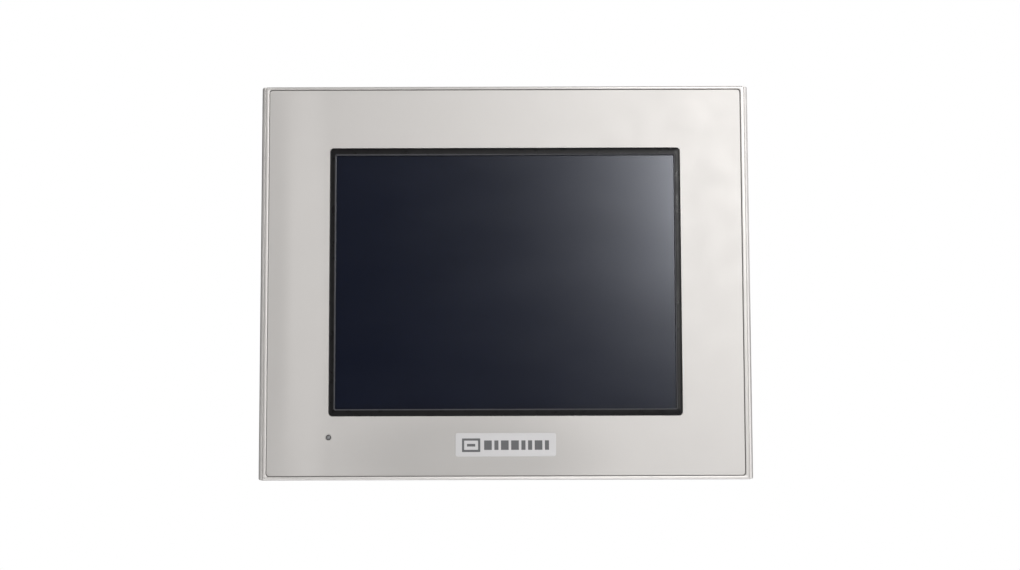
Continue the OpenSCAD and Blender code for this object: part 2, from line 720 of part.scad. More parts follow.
module clamp_brackets() color([0.7, 0.71, 0.72]) for (i = [1:4]) clamp_place(i) difference() {
    union() {
        span([-5, 5], [clamp_gap + 1.9, 20], [0, 1]);
        span([-5, 5], [15, 20], [0, screw_z + 2.35]);
        span([-3.5, 3.5], [clamp_gap + 2, 10.9], [-3.9, nudge]);
        span([-3.5, 3.5], [10.8, 12.9], [-3.9, -wall - 0.1]);
    }
    rod_y(clamp_r + 0.05, 14, 21, 0, screw_z);
}

module clamp_pad(i) color([0.15, 0.15, 0.155]) clamp_place(i) difference() {
    rod_y(2.3, clamp_gap, clamp_gap + 1.6, 0, screw_z);
    rod_y(1.05, clamp_gap + 0.6, clamp_gap + 2, 0, screw_z);
}

module clamp_screw(i) color([0.8, 0.8, 0.78]) clamp_place(i) {
    rod_y(1, clamp_gap + 0.65, clamp_gap + 1.8, 0, screw_z);
    pan_screw(clamp_r, clamp_head_r, clamp_gap + 1.65, 26, 2, 0, screw_z);
}

// ---------- one line per node ----------

front_bezel();
front_sheet();
name_plate();
window_frame();
status_light_pipe();
touch_film();
touch_glass();
panel_gasket();
lcd_frame();
lcd_cell();
diffuser_sheets();
light_guide();
backlight_lamps();
lcd_tray();
flex_cables();
chassis_plate();
internal_screws();
board_standoffs();
main_board();
processor_chips();
backup_battery();
power_board();
power_parts();
inverter_board();
com_shells();
com_inserts();
jackscrews();
ethernet_shell();
ethernet_insert();
usb_shell();
usb_tongue();
power_header();
power_plug();
terminal_screw(1);  // terminal_screw_1
terminal_screw(2);  // terminal_screw_2
terminal_screw(3);  // terminal_screw_3
terminal_cage(1);  // terminal_cage_1
terminal_cage(2);  // terminal_cage_2
terminal_cage(3);  // terminal_cage_3
card_socket();
card_eject_button();
card_eject_lever();
card_cover();
dip_housing();
dip_slider(1);  // dip_slider_1
dip_slider(2);  // dip_slider_2
dip_slider(3);  // dip_slider_3
dip_slider(4);  // dip_slider_4
rear_case();
case_screws();
rating_label();
clamp_brackets();
clamp_pad(1);  // clamp_pad_1
clamp_pad(2);  // clamp_pad_2
clamp_pad(3);  // clamp_pad_3
clamp_pad(4);  // clamp_pad_4
clamp_screw(1);  // clamp_screw_1
clamp_screw(2);  // clamp_screw_2
clamp_screw(3);  // clamp_screw_3
clamp_screw(4);  // clamp_screw_4
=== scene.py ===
import json
import random
from math import atan2, cos, dist, pi, radians, sin, sqrt

import bmesh
import bpy
from mathutils import Matrix, Vector


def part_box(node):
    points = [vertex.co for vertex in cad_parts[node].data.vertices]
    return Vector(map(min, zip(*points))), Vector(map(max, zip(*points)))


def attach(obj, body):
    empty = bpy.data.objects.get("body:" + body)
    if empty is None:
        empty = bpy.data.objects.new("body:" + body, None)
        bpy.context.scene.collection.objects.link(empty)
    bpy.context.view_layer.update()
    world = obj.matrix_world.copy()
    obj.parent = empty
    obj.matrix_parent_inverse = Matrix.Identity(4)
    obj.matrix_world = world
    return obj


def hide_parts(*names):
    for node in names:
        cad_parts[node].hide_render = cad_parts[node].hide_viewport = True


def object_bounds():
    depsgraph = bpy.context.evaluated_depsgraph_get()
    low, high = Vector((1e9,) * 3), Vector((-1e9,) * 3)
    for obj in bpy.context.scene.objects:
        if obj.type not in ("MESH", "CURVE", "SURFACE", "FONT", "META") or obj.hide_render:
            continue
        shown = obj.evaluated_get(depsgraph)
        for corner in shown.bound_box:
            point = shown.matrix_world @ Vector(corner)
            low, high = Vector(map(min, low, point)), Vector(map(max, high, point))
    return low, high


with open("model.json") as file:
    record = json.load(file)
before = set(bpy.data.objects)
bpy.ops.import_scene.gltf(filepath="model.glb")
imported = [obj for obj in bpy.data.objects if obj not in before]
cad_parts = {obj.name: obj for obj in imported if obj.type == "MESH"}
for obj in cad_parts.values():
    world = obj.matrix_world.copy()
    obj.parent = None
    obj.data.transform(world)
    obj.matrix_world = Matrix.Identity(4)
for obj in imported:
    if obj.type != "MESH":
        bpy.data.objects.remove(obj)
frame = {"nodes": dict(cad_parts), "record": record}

cad_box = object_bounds()
random.seed(7)
MM = 0.001
NODES = frame["nodes"]
HOME = "case"  # the body that holds everything fixed


def add_object(name, data):
    """A new object in the scene."""
    made = bpy.data.objects.new(name, data)
    bpy.context.scene.collection.objects.link(made)
    return made


def as_mesh(bm, name):
    mesh = bpy.data.meshes.new(name)
    bm.to_mesh(mesh)
    return mesh


# ---------- camera, at the photograph's viewing angle ----------

CAMERA_DISTANCE = 0.757
CAMERA_LIFT = -6.73  # degrees; below the panel, looking up
CAMERA_ROLL = -0.16
CAMERA_AIM = Vector((0.0016, 0.0, -0.0006))
CAMERA_LENS = 77.6  # millimetres, on a sensor this wide:
CAMERA_SENSOR = 36


def make_camera():
    lift = radians(CAMERA_LIFT)
    forward = Vector((0, cos(lift), -sin(lift)))
    right = Vector((1, 0, 0))
    up = right.cross(forward)
    turn = Matrix.Rotation(-radians(CAMERA_ROLL), 3, forward)
    right, up = turn @ right, turn @ up
    data = bpy.data.cameras.new("camera")
    data.lens = CAMERA_LENS
    data.sensor_width = CAMERA_SENSOR
    data.clip_start = 0.01
    camera = add_object("camera", data)
    axes = Matrix((right, up, -forward)).transposed().to_4x4()
    camera.matrix_world = Matrix.Translation(CAMERA_AIM - forward * CAMERA_DISTANCE) @ axes
    bpy.context.scene.camera = camera


# ---------- stage: pale floor and soft studio light ----------

SKY_TINT = (0.92, 0.95, 1.0, 1)
SKY_LIGHT = 0.03
WHITE = (1, 1, 1, 1)
FLOOR_DROP = 0.42  # metres below the object
FLOOR_RADIUS = 6
FLOOR_TINT = (0.9, 0.9, 0.9, 1)
FLOOR_PALE = 0.72  # how bright the far floor looks
SOFTBOXES = [  # azimuth, elevation, width, height, radiance; color and distance
    ("key_softbox", 11.9, 12.3, 0.7, 0.7, 21.6, (1.0, 0.995, 0.98), 4),
    ("wide_softbox", 40, 30, 0.9, 0.9, 4.2, (1.0, 0.985, 0.965)),
    ("left_softbox", -40, 10, 0.6, 1.1, 2.8, (1.0, 0.99, 0.97)),
    ("top_softbox", 0, 65, 1.6, 0.8, 1.0),
    ("right_softbox", 80, 10, 0.8, 1.2, 2.4),
    ("back_softbox", 168, 30, 2.2, 1.4, 1.6),
    ("far_left_softbox", -85, 5, 0.8, 1.2, 0.6),
    ("overhead_softbox", 0, 86, 1.2, 1.2, 0.6),
    ("under_softbox", 0, -84, 0.5, 0.4, 0.9, (1, 1, 1), 0.36),
]


def softbox(name, azimuth, elevation, width, height, radiance, color=(1, 1, 1), distance=1.6):
    """A soft area light facing the object, from degrees right of its front and degrees up."""
    az, el = radians(azimuth), radians(elevation)
    place = distance * Vector((sin(az) * cos(el), -cos(az) * cos(el), sin(el)))
    data = bpy.data.lights.new(name, "AREA")
    data.shape = "RECTANGLE"
    data.size, data.size_y = width, height
    data.energy = radiance * pi * width * height
    data.color = color
    light = add_object(name, data)
    turn = place.to_track_quat("Z", "Y").to_matrix().to_4x4()
    light.matrix_world = Matrix.Translation(place) @ turn
    light.visible_camera = False


def is_socket(value):
    return isinstance(value, bpy.types.NodeSocket)


def feed(node, inputs):
    """Gives each named input its value, or links it to another node's output."""
    for key, value in inputs.items():
        if is_socket(value):
            node.id_data.links.new(value, node.inputs[key])
        else:
            node.inputs[key].default_value = value


def add_node(tree, kind, inputs=None, **settings):
    """Adds a shader node with its settings, and feeds its inputs."""
    made = tree.nodes.new(kind)
    for key, value in settings.items():
        setattr(made, key, value)
    feed(made, inputs or {})
    return made


def cleared(owner):
    """The node tree of a world or material, emptied."""
    owner.use_nodes = True
    owner.node_tree.nodes.clear()
    return owner.node_tree


def make_world():
    """Plain white behind the object, and a dim even sky for its light."""
    world = bpy.data.worlds.new("studio")
    bpy.context.scene.world = world
    tree = cleared(world)
    path = add_node(tree, "ShaderNodeLightPath")
    lit = add_node(tree, "ShaderNodeBackground", {"Color": SKY_TINT, "Strength": SKY_LIGHT})
    seen = add_node(tree, "ShaderNodeBackground", {"Color": WHITE, "Strength": 1.0})
    mix = add_node(tree, "ShaderNodeMixShader", {
        0: path.outputs["Is Camera Ray"], 1: lit.outputs[0], 2: seen.outputs[0]})
    add_node(tree, "ShaderNodeOutputWorld", {0: mix.outputs[0]})


def make_floor():
    """A wide matt floor, evenly pale to the camera, and open to views from underneath."""
    bm = bmesh.new()
    bmesh.ops.create_circle(bm, cap_ends=True, radius=FLOOR_RADIUS, segments=96)
    mesh = as_mesh(bm, "floor")
    bm.free()
    floor = add_object("floor", mesh)
    floor.location.z = cad_box[0][2] - FLOOR_DROP
    paint = bpy.data.materials.new("floor_paint")
    tree = cleared(paint)
    path = add_node(tree, "ShaderNodeLightPath")
    pale = add_node(tree, "ShaderNodeMath", {
        0: path.outputs["Is Camera Ray"], 1: FLOOR_PALE}, operation="MULTIPLY")
    glow = add_node(tree, "ShaderNodeEmission", {"Strength": pale.outputs[0]})
    matt = add_node(tree, "ShaderNodeBsdfDiffuse", {"Color": FLOOR_TINT})
    both = add_node(tree, "ShaderNodeAddShader", {0: matt.outputs[0], 1: glow.outputs[0]})
    side = add_node(tree, "ShaderNodeNewGeometry")
    clear = add_node(tree, "ShaderNodeBsdfTransparent")
    mix = add_node(tree, "ShaderNodeMixShader", {
        0: side.outputs["Backfacing"], 1: both.outputs[0], 2: clear.outputs[0]})
    add_node(tree, "ShaderNodeOutputMaterial", {0: mix.outputs[0]})
    mesh.materials.append(paint)


make_camera()
make_world()
make_floor()
for row in SOFTBOXES:
    softbox(*row)
bpy.context.scene.view_settings.view_transform = "Standard"


# ---------- materials ----------

class Paint:
    """One procedural material, built up from a few shared node patterns."""

    def __init__(self, name, color, rough, **sockets):
        self.material = bpy.data.materials.new(name)
        self.material.use_nodes = True
        self.tree = self.material.node_tree
        self.color, self.rough = color, rough
        self.shader(Base_Color=(*color, 1), Roughness=rough, **sockets)
        self.where = self.node("ShaderNodeTexCoord").outputs["Object"]
        self.last_color = None
        self.normal = None

    def shader(self, **sockets):
        """Feeds the surface shader; an underscore stands for a space in a socket's name."""
        feed(self.tree.nodes["Principled BSDF"],
             {key.replace("_", " "): value for key, value in sockets.items()})

    def node(self, kind, inputs=None, **settings):
        return add_node(self.tree, kind, inputs, **settings)

    def vector(self, operation, first, second):
        return self.node("ShaderNodeVectorMath", {0: first, 1: second}, operation=operation)

    def spread(self, size_mm, stretch=(1, 1, 1)):
        """The place in units of size_mm, drawn out along an axis where stretch is over 1."""
        factors = [1 / (size_mm * MM * s) for s in stretch]
        return self.vector("MULTIPLY", self.where, factors).outputs[0]

    def noise(self, size_mm, detail=3.0, stretch=(1, 1, 1)):
        made = self.node("ShaderNodeTexNoise", {
            "Scale": 1.0, "Detail": detail, "Vector": self.spread(size_mm, stretch)})
        return made.outputs["Fac"]

    def cells(self, size_mm):
        made = self.node("ShaderNodeTexVoronoi", feature="SMOOTH_F1", inputs={
            "Scale": 1.0, "Smoothness": 0.6, "Vector": self.spread(size_mm)})
        return made.outputs["Distance"]

    def remap(self, value, low, high, start=0.3, end=0.7):
        return self.node("ShaderNodeMapRange", {
            "From Min": start, "From Max": end, "To Min": low, "To Max": high,
            "Value": value}).outputs["Result"]

    def mix_color(self, factor, first, second):
        """Mixes two colours, each a socket or three numbers."""
        first, second = (c if is_socket(c) else (*c, 1) for c in (first, second))
        made = self.node("ShaderNodeMix", data_type="RGBA", blend_type="MIX", inputs={
            "Factor": factor, "A": first, "B": second})
        self.last_color = made.outputs["Result"]
        self.shader(Base_Color=self.last_color)

    def shade(self, value, low, high):
        """Colour variation: the base colour times a factor from low to high."""
        dark = [c * low for c in self.color]
        light = [min(1, c * high) for c in self.color]
        self.mix_color(self.remap(value, 0, 1), dark, light)

    def speckle(self, size_mm, color, share):
        """Fine grains of another colour mixed into the last one."""
        grains = self.remap(self.noise(size_mm, 1), 0, share, 0.45, 0.75)
        self.mix_color(grains, self.last_color, color)

    def painted_shading_patch(self, centre_mm, reach_mm, factor):
        """Painted light on a soft-edged area: the tint times a factor, painted shade below 1 and
        painted highlight above.
        """
        moved = self.vector("SUBTRACT", self.where, [c * MM for c in centre_mm])
        scaled = self.vector("MULTIPLY", moved.outputs[0], [1 / (r * MM) for r in reach_mm])
        far = self.node("ShaderNodeVectorMath", {0: scaled.outputs[0]}, operation="LENGTH")
        near = self.remap(far.outputs["Value"], 1, 0, 0.35, 1.0)
        near.node.interpolation_type = "SMOOTHSTEP"
        self.mix_color(near, self.last_color, [c * factor for c in self.color])

    def roughen(self, value, spread):
        self.shader(Roughness=self.remap(value, self.rough - spread, self.rough + spread))

    def bump(self, value, depth_mm):
        """Relief from a pattern, on top of any relief there is already."""
        inputs = {"Distance": depth_mm * MM, "Strength": 1.0, "Height": value}
        if self.normal:
            inputs["Normal"] = self.normal
        self.normal = self.node("ShaderNodeBump", inputs).outputs["Normal"]
        self.shader(Normal=self.normal)

    def wear(self, radius_mm, color):
        """Rubbed edges: the bare colour shows where a rounded normal leaves the true one."""
        rounded = self.node("ShaderNodeBevel", {"Radius": radius_mm * MM}, samples=4)
        true = self.node("ShaderNodeNewGeometry")
        facing = self.vector("DOT_PRODUCT", rounded.outputs["Normal"], true.outputs["Normal"])
        edge = self.remap(facing.outputs["Value"], 1, 0, 0.72, 0.985)
        patchy = self.node("ShaderNodeMath", operation="MULTIPLY", use_clamp=True, inputs={
            0: edge, 1: self.remap(self.noise(1.5), 0, 0.8)})
        self.mix_color(patchy.outputs[0], self.last_color, color)


def plastic(name, color, rough, grain_mm=0.12, depth_mm=0.006, worn=None, **sockets):
    """Moulded plastic: a fine spark-eroded grain, slow tint and gloss variation."""
    paint = Paint(name, color, rough, **sockets)
    paint.shade(paint.noise(14), 0.94, 1.06)
    paint.roughen(paint.noise(3), 0.05)
    paint.bump(paint.noise(grain_mm, 2), depth_mm)
    if worn:
        paint.wear(0.25, worn)
    return paint.material


def gloss(name, color, rough=0.2, depth_mm=0.0005, **sockets):
    """Smooth moulded or glassy plastic: hardly any grain."""
    return plastic(name, color, rough, 0.3, depth_mm, **sockets)


def metal(name, color, rough, stretch=(1, 1, 1), worn=None):
    """Plated or rolled metal: faint directional grain, blotches and rubbed edges."""
    paint = Paint(name, color, rough, Metallic=1.0)
    paint.shade(paint.noise(5), 0.93, 1.05)
    paint.roughen(paint.noise(0.8, 3, stretch), 0.06)
    paint.bump(paint.noise(0.08, 2, stretch), 0.001)
    if worn:
        paint.wear(0.15, worn)
    return paint.material


def silver_paint(name, color, rough, metallic, painted_shading_patches=()):
    """Metallic silver finish: fine flakes in a satin coat, with patches of painted shade and
    painted highlight where given.
    """
    paint = Paint(name, color, rough, Metallic=metallic)
    paint.shade(paint.noise(0.07, 1), 0.97, 1.03)
    # painted shade and painted highlight, where patches are given
    for painted_shading_patch in painted_shading_patches:
        paint.painted_shading_patch(*painted_shading_patch)
    paint.roughen(paint.noise(8, 2), 0.015)
    paint.bump(paint.noise(0.09, 1), 0.0006)
    return paint.material


def film(name, color, rough):
    """Coated display film: an even anti-glare haze with faint wiping marks."""
    paint = Paint(name, color, rough, IOR=1.74, Specular_Tint=(0.88, 0.91, 1.0, 1))
    paint.shade(paint.noise(30, 2), 0.94, 1.06)
    paint.roughen(paint.noise(12, 3, (3, 1, 1)), 0.006)
    paint.bump(paint.noise(0.05, 1), 0.00004)
    return paint.material


def moulded_case(name, color, rough, worn):
    """The rear case: spark texture in two sizes, pale grains and paler rubbed edges."""
    paint = Paint(name, color, rough)
    paint.shade(paint.noise(26, 3), 0.96, 1.04)
    paint.speckle(0.18, [c * 1.7 for c in color], 0.45)
    paint.roughen(paint.noise(1.2, 3), 0.03)
    paint.bump(paint.cells(0.42), 0.025)
    paint.bump(paint.noise(0.16, 3), 0.012)
    paint.wear(0.3, worn)
    return paint.material


def foam(name, color, rough):
    """Closed-cell sealing foam: small open pits over a soft mottle."""
    paint = Paint(name, color, rough)
    paint.shade(paint.noise(1.2, 4), 0.7, 1.35)
    paint.roughen(paint.noise(0.5, 3), 0.08)
    paint.bump(paint.cells(0.22), 0.05)
    return paint.material


def circuit_board(name, color, rough):
    """Solder mask over copper: paler straight tracks and a slight orange peel."""
    paint = Paint(name, color, rough)
    turn = paint.node("ShaderNodeMapping", {
        "Rotation": (pi / 2, 0, 0), "Vector": paint.spread(2.2)})
    tracks = paint.node("ShaderNodeTexBrick", {
        "Scale": 1.0, "Mortar Size": 0.09, "Color1": WHITE, "Color2": (0.7, 0.7, 0.7, 1),
        "Mortar": (0, 0, 0, 1), "Vector": turn.outputs[0]})
    paint.shade(tracks.outputs["Color"], 1.5, 0.95)
    paint.roughen(paint.noise(2), 0.05)
    paint.bump(paint.noise(0.5), 0.006)
    return paint.material


SHEET_PAINTED_SHADING = [  # painted shade and painted highlight on the sheet: centre, reach, factor
    # painted shade: darker towards the bottom centre
    ((-12, 0, -60), (58, 100, 24), 0.83),
    # painted highlight: a lighter band near the left edge
    ((-68, 0, 0), (10, 100, 120), 1.08),
    # painted shade along the left edge
    ((-81, 0, 0), (9, 100, 120), 0.92),
]
MATERIALS = {
    "silver_bezel": silver_paint("silver_bezel_paint", (0.625, 0.606, 0.594), 0.38, 0.55),
    # the sheet's silver print, with patches of painted shade and painted highlight
    "silver_sheet": silver_paint(
        "silver_sheet_print_with_painted_shading", (0.541, 0.525, 0.514), 0.40, 0.45, SHEET_PAINTED_SHADING),
    "plate_silver": silver_paint("plate_satin", (0.56, 0.555, 0.565), 0.62, 0.1),
    "window_black": gloss(
        "window_black_gloss", (0.0055, 0.0052, 0.0058), 0.30, 0.0004, Specular_IOR_Level=0.24),
    "light_pipe": gloss("smoked_lens", (0.18, 0.182, 0.188)),
    "touch_film": film("anti_glare_film", (0.0014, 0.0030, 0.011), 0.166),
    "gasket": foam("foam_rubber", (0.024, 0.024, 0.025), 0.82),
    "lcd_dark": gloss("display_cell", (0.02, 0.022, 0.03)),
    "white_plastic": plastic("white_tray", (0.78, 0.78, 0.76), 0.5),
    "clear_plastic": plastic("light_guide_acrylic", (0.7, 0.76, 0.76), 0.12),
    "lamp_white": plastic("lamp_tube", (0.86, 0.86, 0.82), 0.2),
    "flex_amber": plastic("flex_film", (0.42, 0.2, 0.035), 0.3),
    "board_green": circuit_board("solder_mask", (0.012, 0.11, 0.05), 0.32),
    "chip_black": plastic(
        "chip_moulding", (0.02, 0.02, 0.022), 0.55, worn=(0.06, 0.06, 0.062)),
    "port_black": plastic(
        "port_moulding", (0.018, 0.018, 0.02), 0.42, worn=(0.05, 0.05, 0.052)),
    "port_white": plastic("white_moulding", (0.72, 0.72, 0.69), 0.4),
    "terminal_green": plastic(
        "green_moulding", (0.022, 0.19, 0.06), 0.42, worn=(0.06, 0.3, 0.12)),
    "dip_red": plastic("red_moulding", (0.36, 0.025, 0.02), 0.38, worn=(0.5, 0.08, 0.06)),
    "case_grey": moulded_case(
        "case_moulding", (0.052, 0.054, 0.058), 0.52, (0.12, 0.123, 0.128)),
    "pad_black": plastic("pad_moulding", (0.025, 0.025, 0.027), 0.5, worn=(0.07, 0.07, 0.072)),
    "label_silver": plastic("label_film", (0.50, 0.50, 0.495), 0.36, 0.1, 0.001),
    "steel_sheet": metal("rolled_steel", (0.56, 0.57, 0.58), 0.34, (12, 1, 1)),
    "screw_steel": metal("zinc_plate", (0.62, 0.62, 0.60), 0.28, worn=(0.85, 0.85, 0.83)),
    "clamp_steel": metal(
        "zinc_pressing", (0.40, 0.41, 0.42), 0.42, (1, 10, 1), (0.62, 0.62, 0.62)),
    "cell_steel": metal("battery_can", (0.7, 0.7, 0.7), 0.22),
    "brass_plated": metal("nickel_brass", (0.72, 0.58, 0.32), 0.28),
    "shell_steel": metal("tin_plate", (0.60, 0.61, 0.61), 0.28, (1, 1, 8), (0.85, 0.85, 0.84)),
    "glass": plastic("glass_edge", (0.12, 0.16, 0.16), 0.08),
}
GOLD = metal("contact_gold", (0.85, 0.60, 0.24), 0.20)
INK = plastic("printed_ink", (0.105, 0.105, 0.112), 0.45, 0.1, 0.001)
LIP_GREY = gloss(
    "window_lip_grey", (0.058, 0.058, 0.064), 0.34, 0.0004, Specular_IOR_Level=0.3)
# painted shade: a dark grey for the shadow in the gap round the sheet
GAP_PAINTED_SHADE = gloss("gap_painted_shade_grey", (0.155, 0.15, 0.145), 0.6, 0.001)
RING = plastic("lens_ring", (0.05, 0.05, 0.052), 0.35, 0.2, 0.001)
LAMP_GREEN = gloss("lamp_green_window", (0.05, 0.30, 0.08))
LAMP_AMBER = gloss("lamp_amber_window", (0.55, 0.28, 0.03))
WHITE_INK = plastic("white_ink", (0.70, 0.70, 0.68), 0.5, 0.1, 0.001)


# ---------- shapes, in millimetres ----------

def rounded_rect(w, h, r, steps=5):
    """Outline of a rounded rectangle about the origin, anticlockwise."""
    points = []
    for corner, (sx, sz) in enumerate(((1, 1), (-1, 1), (-1, -1), (1, -1))):
        for i in range(steps + 1):
            a = pi / 2 * (corner + i / steps)
            points.append((sx * (w / 2 - r) + r * cos(a), sz * (h / 2 - r) + r * sin(a)))
    return points


def circle(r, count=40):
    step = 2 * pi / count
    return [(r * cos(i * step), r * sin(i * step)) for i in range(count)]


def at_height(outline, h, centre=(0, 0)):
    """A ring for loft(): an outline moved to a centre and a height."""
    return [(x + centre[0], z + centre[1], h) for x, z in outline]


def strip(x, z, h):
    """A ring for loft(): a rectangle between (low, high) in x and z, at a height."""
    return [(x[0], z[0], h), (x[1], z[0], h), (x[1], z[1], h), (x[0], z[1], h)]


def around(middle, half):
    return middle - half, middle + half


class Part:
    """A mesh being built on its own axes: x and z across, and a height h.

    lay() turns them into the model's frame. Without it they are the model's x, y and z.
    """

    def __init__(self):
        self.bm = bmesh.new()

    def loft(self, rings, closed=False):
        """Skins rings of as many points each; capped at both ends unless closed on itself."""
        rows = [[self.bm.verts.new(point) for point in ring] for ring in rings]
        count = len(rows[0])
        for a, b in zip(rows, rows[1:] + rows[:1] if closed else rows[1:]):
            for i in range(count):
                j = (i + 1) % count
                self.bm.faces.new((a[i], a[j], b[j], b[i]))
        if not closed:
            self.bm.faces.new(rows[0][::-1])
            self.bm.faces.new(rows[-1])
        return self

    def turned(self, profile, count=40, centre=(0, 0), closed=False):
        """A body of revolution about h, from a list of (radius, height)."""
        least = 0.004  # the radius that stands for a point on the axis
        return self.loft([at_height(circle(max(r, least), count), h, centre)
                          for r, h in profile], closed)

    def plate(self, w, h, r, low, high, edge, centre=(0, 0)):
        """A rounded rectangle from height low up to high, its upper rim rounded by edge."""
        rings = [(0, low), (0, high - edge)]
        for i in (1, 2, 3):
            a = pi / 6 * i
            rings.append((edge * (1 - cos(a)), high - edge + edge * sin(a)))
        return self.loft([
            at_height(rounded_rect(w - 2 * inset, h - 2 * inset, max(r - inset, 0.03)),
                      height, centre) for inset, height in rings])

    def frame(self, sections):
        """A frame from (width, height, corner radius, h) sections in order round its profile."""
        return self.loft([at_height(rounded_rect(w, d, r, 8), h) for w, d, r, h in sections], True)

    def box(self, x, z, h, edge=0.0, segments=2):
        """A box between (low, high) on each axis, its edges rounded by edge."""
        made = bmesh.ops.create_cube(self.bm, size=1)
        size = Vector((x[1] - x[0], z[1] - z[0], h[1] - h[0]))
        middle = Vector((x[1] + x[0], z[1] + z[0], h[1] + h[0])) / 2
        for v in made["verts"]:
            v.co = v.co * size + middle
        if edge:
            edges = list({e for v in made["verts"] for e in v.link_edges})
            bmesh.ops.bevel(self.bm, geom=edges, offset=edge, segments=segments, profile=0.5,
                            affect="EDGES")
        return self

    def thread(self, core, crest, pitch, low, high):
        """A ridge wound round the h axis, running out to the core at both ends."""
        count = 20  # steps in a turn
        total = int((high - low - pitch) / pitch * count)
        root = core - 0.08
        rows = []
        for i in range(total + 1):
            a = 2 * pi * i / count
            h = low + pitch / 2 + i * pitch / count
            rise = min(1, i / count * 1.5, (total - i) / count * 1.5)
            tip = core + (crest - core) * rise
            section = ((root, -0.46), (tip, -0.06), (tip, 0.06), (root, 0.46))
            rows.append([(r * cos(a), r * sin(a), h + share * pitch)
                         for r, share in section])
        return self.loft(rows)

    def merge(self, other, matrix):
        """Adds a copy of another part, laid by a matrix."""
        mesh = as_mesh(other.bm, "merged")
        mesh.transform(matrix)
        self.bm.from_mesh(mesh)
        bpy.data.meshes.remove(mesh)

    def lay(self, matrix):
        self.bm.transform(matrix)
        return self

    def cut(self, tool):
        """Takes a closed tool away from this closed part."""
        made = []
        for part in (self, tool):
            bmesh.ops.recalc_face_normals(part.bm, faces=part.bm.faces)
            made.append(add_object("cut", as_mesh(part.bm, "cut")))
        body, knife = made
        modifier = body.modifiers.new("cut", "BOOLEAN")
        modifier.operation = "DIFFERENCE"
        modifier.solver = "EXACT"
        modifier.object = knife
        bpy.context.view_layer.update()
        evaluated = body.evaluated_get(bpy.context.evaluated_depsgraph_get())
        result = bpy.data.meshes.new_from_object(evaluated)
        self.bm.clear()
        self.bm.from_mesh(result)
        bpy.data.meshes.remove(result)
        for thing in made:
            mesh = thing.data
            bpy.data.objects.remove(thing)
            bpy.data.meshes.remove(mesh)
        return self

    def put(self, name, slot, body=HOME, replaces=(), paint=None, smooth=35):
        """Makes the part a piece of the visual model, riding on a body."""
        bmesh.ops.remove_doubles(self.bm, verts=self.bm.verts, dist=0.0005)
        bmesh.ops.recalc_face_normals(self.bm, faces=self.bm.faces)
        self.bm.transform(Matrix.Scale(MM, 4))
        mesh = as_mesh(self.bm, name)
        self.bm.free()
        mesh.polygons.foreach_set("use_smooth", [True] * len(mesh.polygons))
        mesh.set_sharp_from_angle(angle=radians(smooth))
        mesh.materials.append(paint or MATERIALS[slot])
        piece = add_object(name, mesh)
        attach(piece, body)
        if replaces:
            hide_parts(*replaces)
        return piece


def facing(direction, origin):
    """Lays a part's height axis along front, back or down, from an origin in the model."""
    turn = {
        "front": Matrix(((1, 0, 0), (0, 0, -1), (0, 1, 0))),
        "back": Matrix(((-1, 0, 0), (0, 0, 1), (0, 1, 0))),
        "down": Matrix(((1, 0, 0), (0, -1, 0), (0, 0, -1))),
    }[direction]
    return Matrix.Translation(Vector(origin)) @ turn.to_4x4()


def span(node):
    """Lowest corner, highest corner and centre of a CAD node, in millimetres."""
    low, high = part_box(node)
    return low / MM, high / MM, (low + high) / 2 / MM


def seat(node, direction):
    """A CAD node's width, height and thickness, and how to lay a part on its box.

    A part that faces the front starts at the rear side, one that faces the back starts at
    the front side, and one that faces down starts at the lowest side.
    """
    low, high, mid = span(node)
    origin = {"front": (mid.x, high.y, mid.z), "back": (mid.x, low.y, mid.z),
              "down": (mid.x, mid.y, low.z)}[direction]
    size = high - low
    return size.x, size.z, size.y, facing(direction, origin)


def copied(node, unit=MM):
    """A part that starts as a copy of a CAD node's solid, in a unit of so many metres."""
    part = Part()
    part.bm.from_mesh(NODES[node].data)
    part.lay(Matrix.Scale(1 / unit, 4))
    bmesh.ops.remove_doubles(part.bm, verts=part.bm.verts, dist=0.002 * MM / unit)
    bmesh.ops.dissolve_limit(part.bm, angle_limit=radians(0.5), verts=part.bm.verts,
                             edges=part.bm.edges)
    return part


def soften(piece, bevel_mm):
    """By modifiers: joins the mesh's split faces, and rounds sharp edges if bevel_mm says so."""
    weld = piece.modifiers.new("weld", "WELD")
    weld.merge_threshold = 0.002 * MM
    if not bevel_mm:
        return
    bevel = piece.modifiers.new("bevel", "BEVEL")
    bevel.width = bevel_mm * MM
    bevel.segments = 2
    bevel.limit_method = "ANGLE"
    bevel.angle_limit = radians(40)
    bevel.harden_normals = True


def dress(node):
    """Gives a carried-over CAD node its material and, if EDGES lists it, softer edges."""
    piece = NODES[node]
    rows = frame["record"]["subparts"]
    slot = next(row["material_slot"] for row in rows if row["node"] == node)
    piece.data.materials.clear()
    piece.data.materials.append(MATERIALS[slot])
    if node in EDGES:
        soften(piece, EDGES[node])


# ---------- front ----------

FRAME_WIDE = 3.9  # frame's outer width less the screen's
FRAME_TALL = 4.6  # frame's outer height less the screen's
LIP = 0.42  # width of the frame's inner lip
PROUD = 0.02  # how far a mark stands above the face, and reaches below it
MARK_BLOCKS = (2.6, 1.4, 2.6, 2.6, 1.4, 1.4, 2.6, 1.4)  # lengths in the generic mark


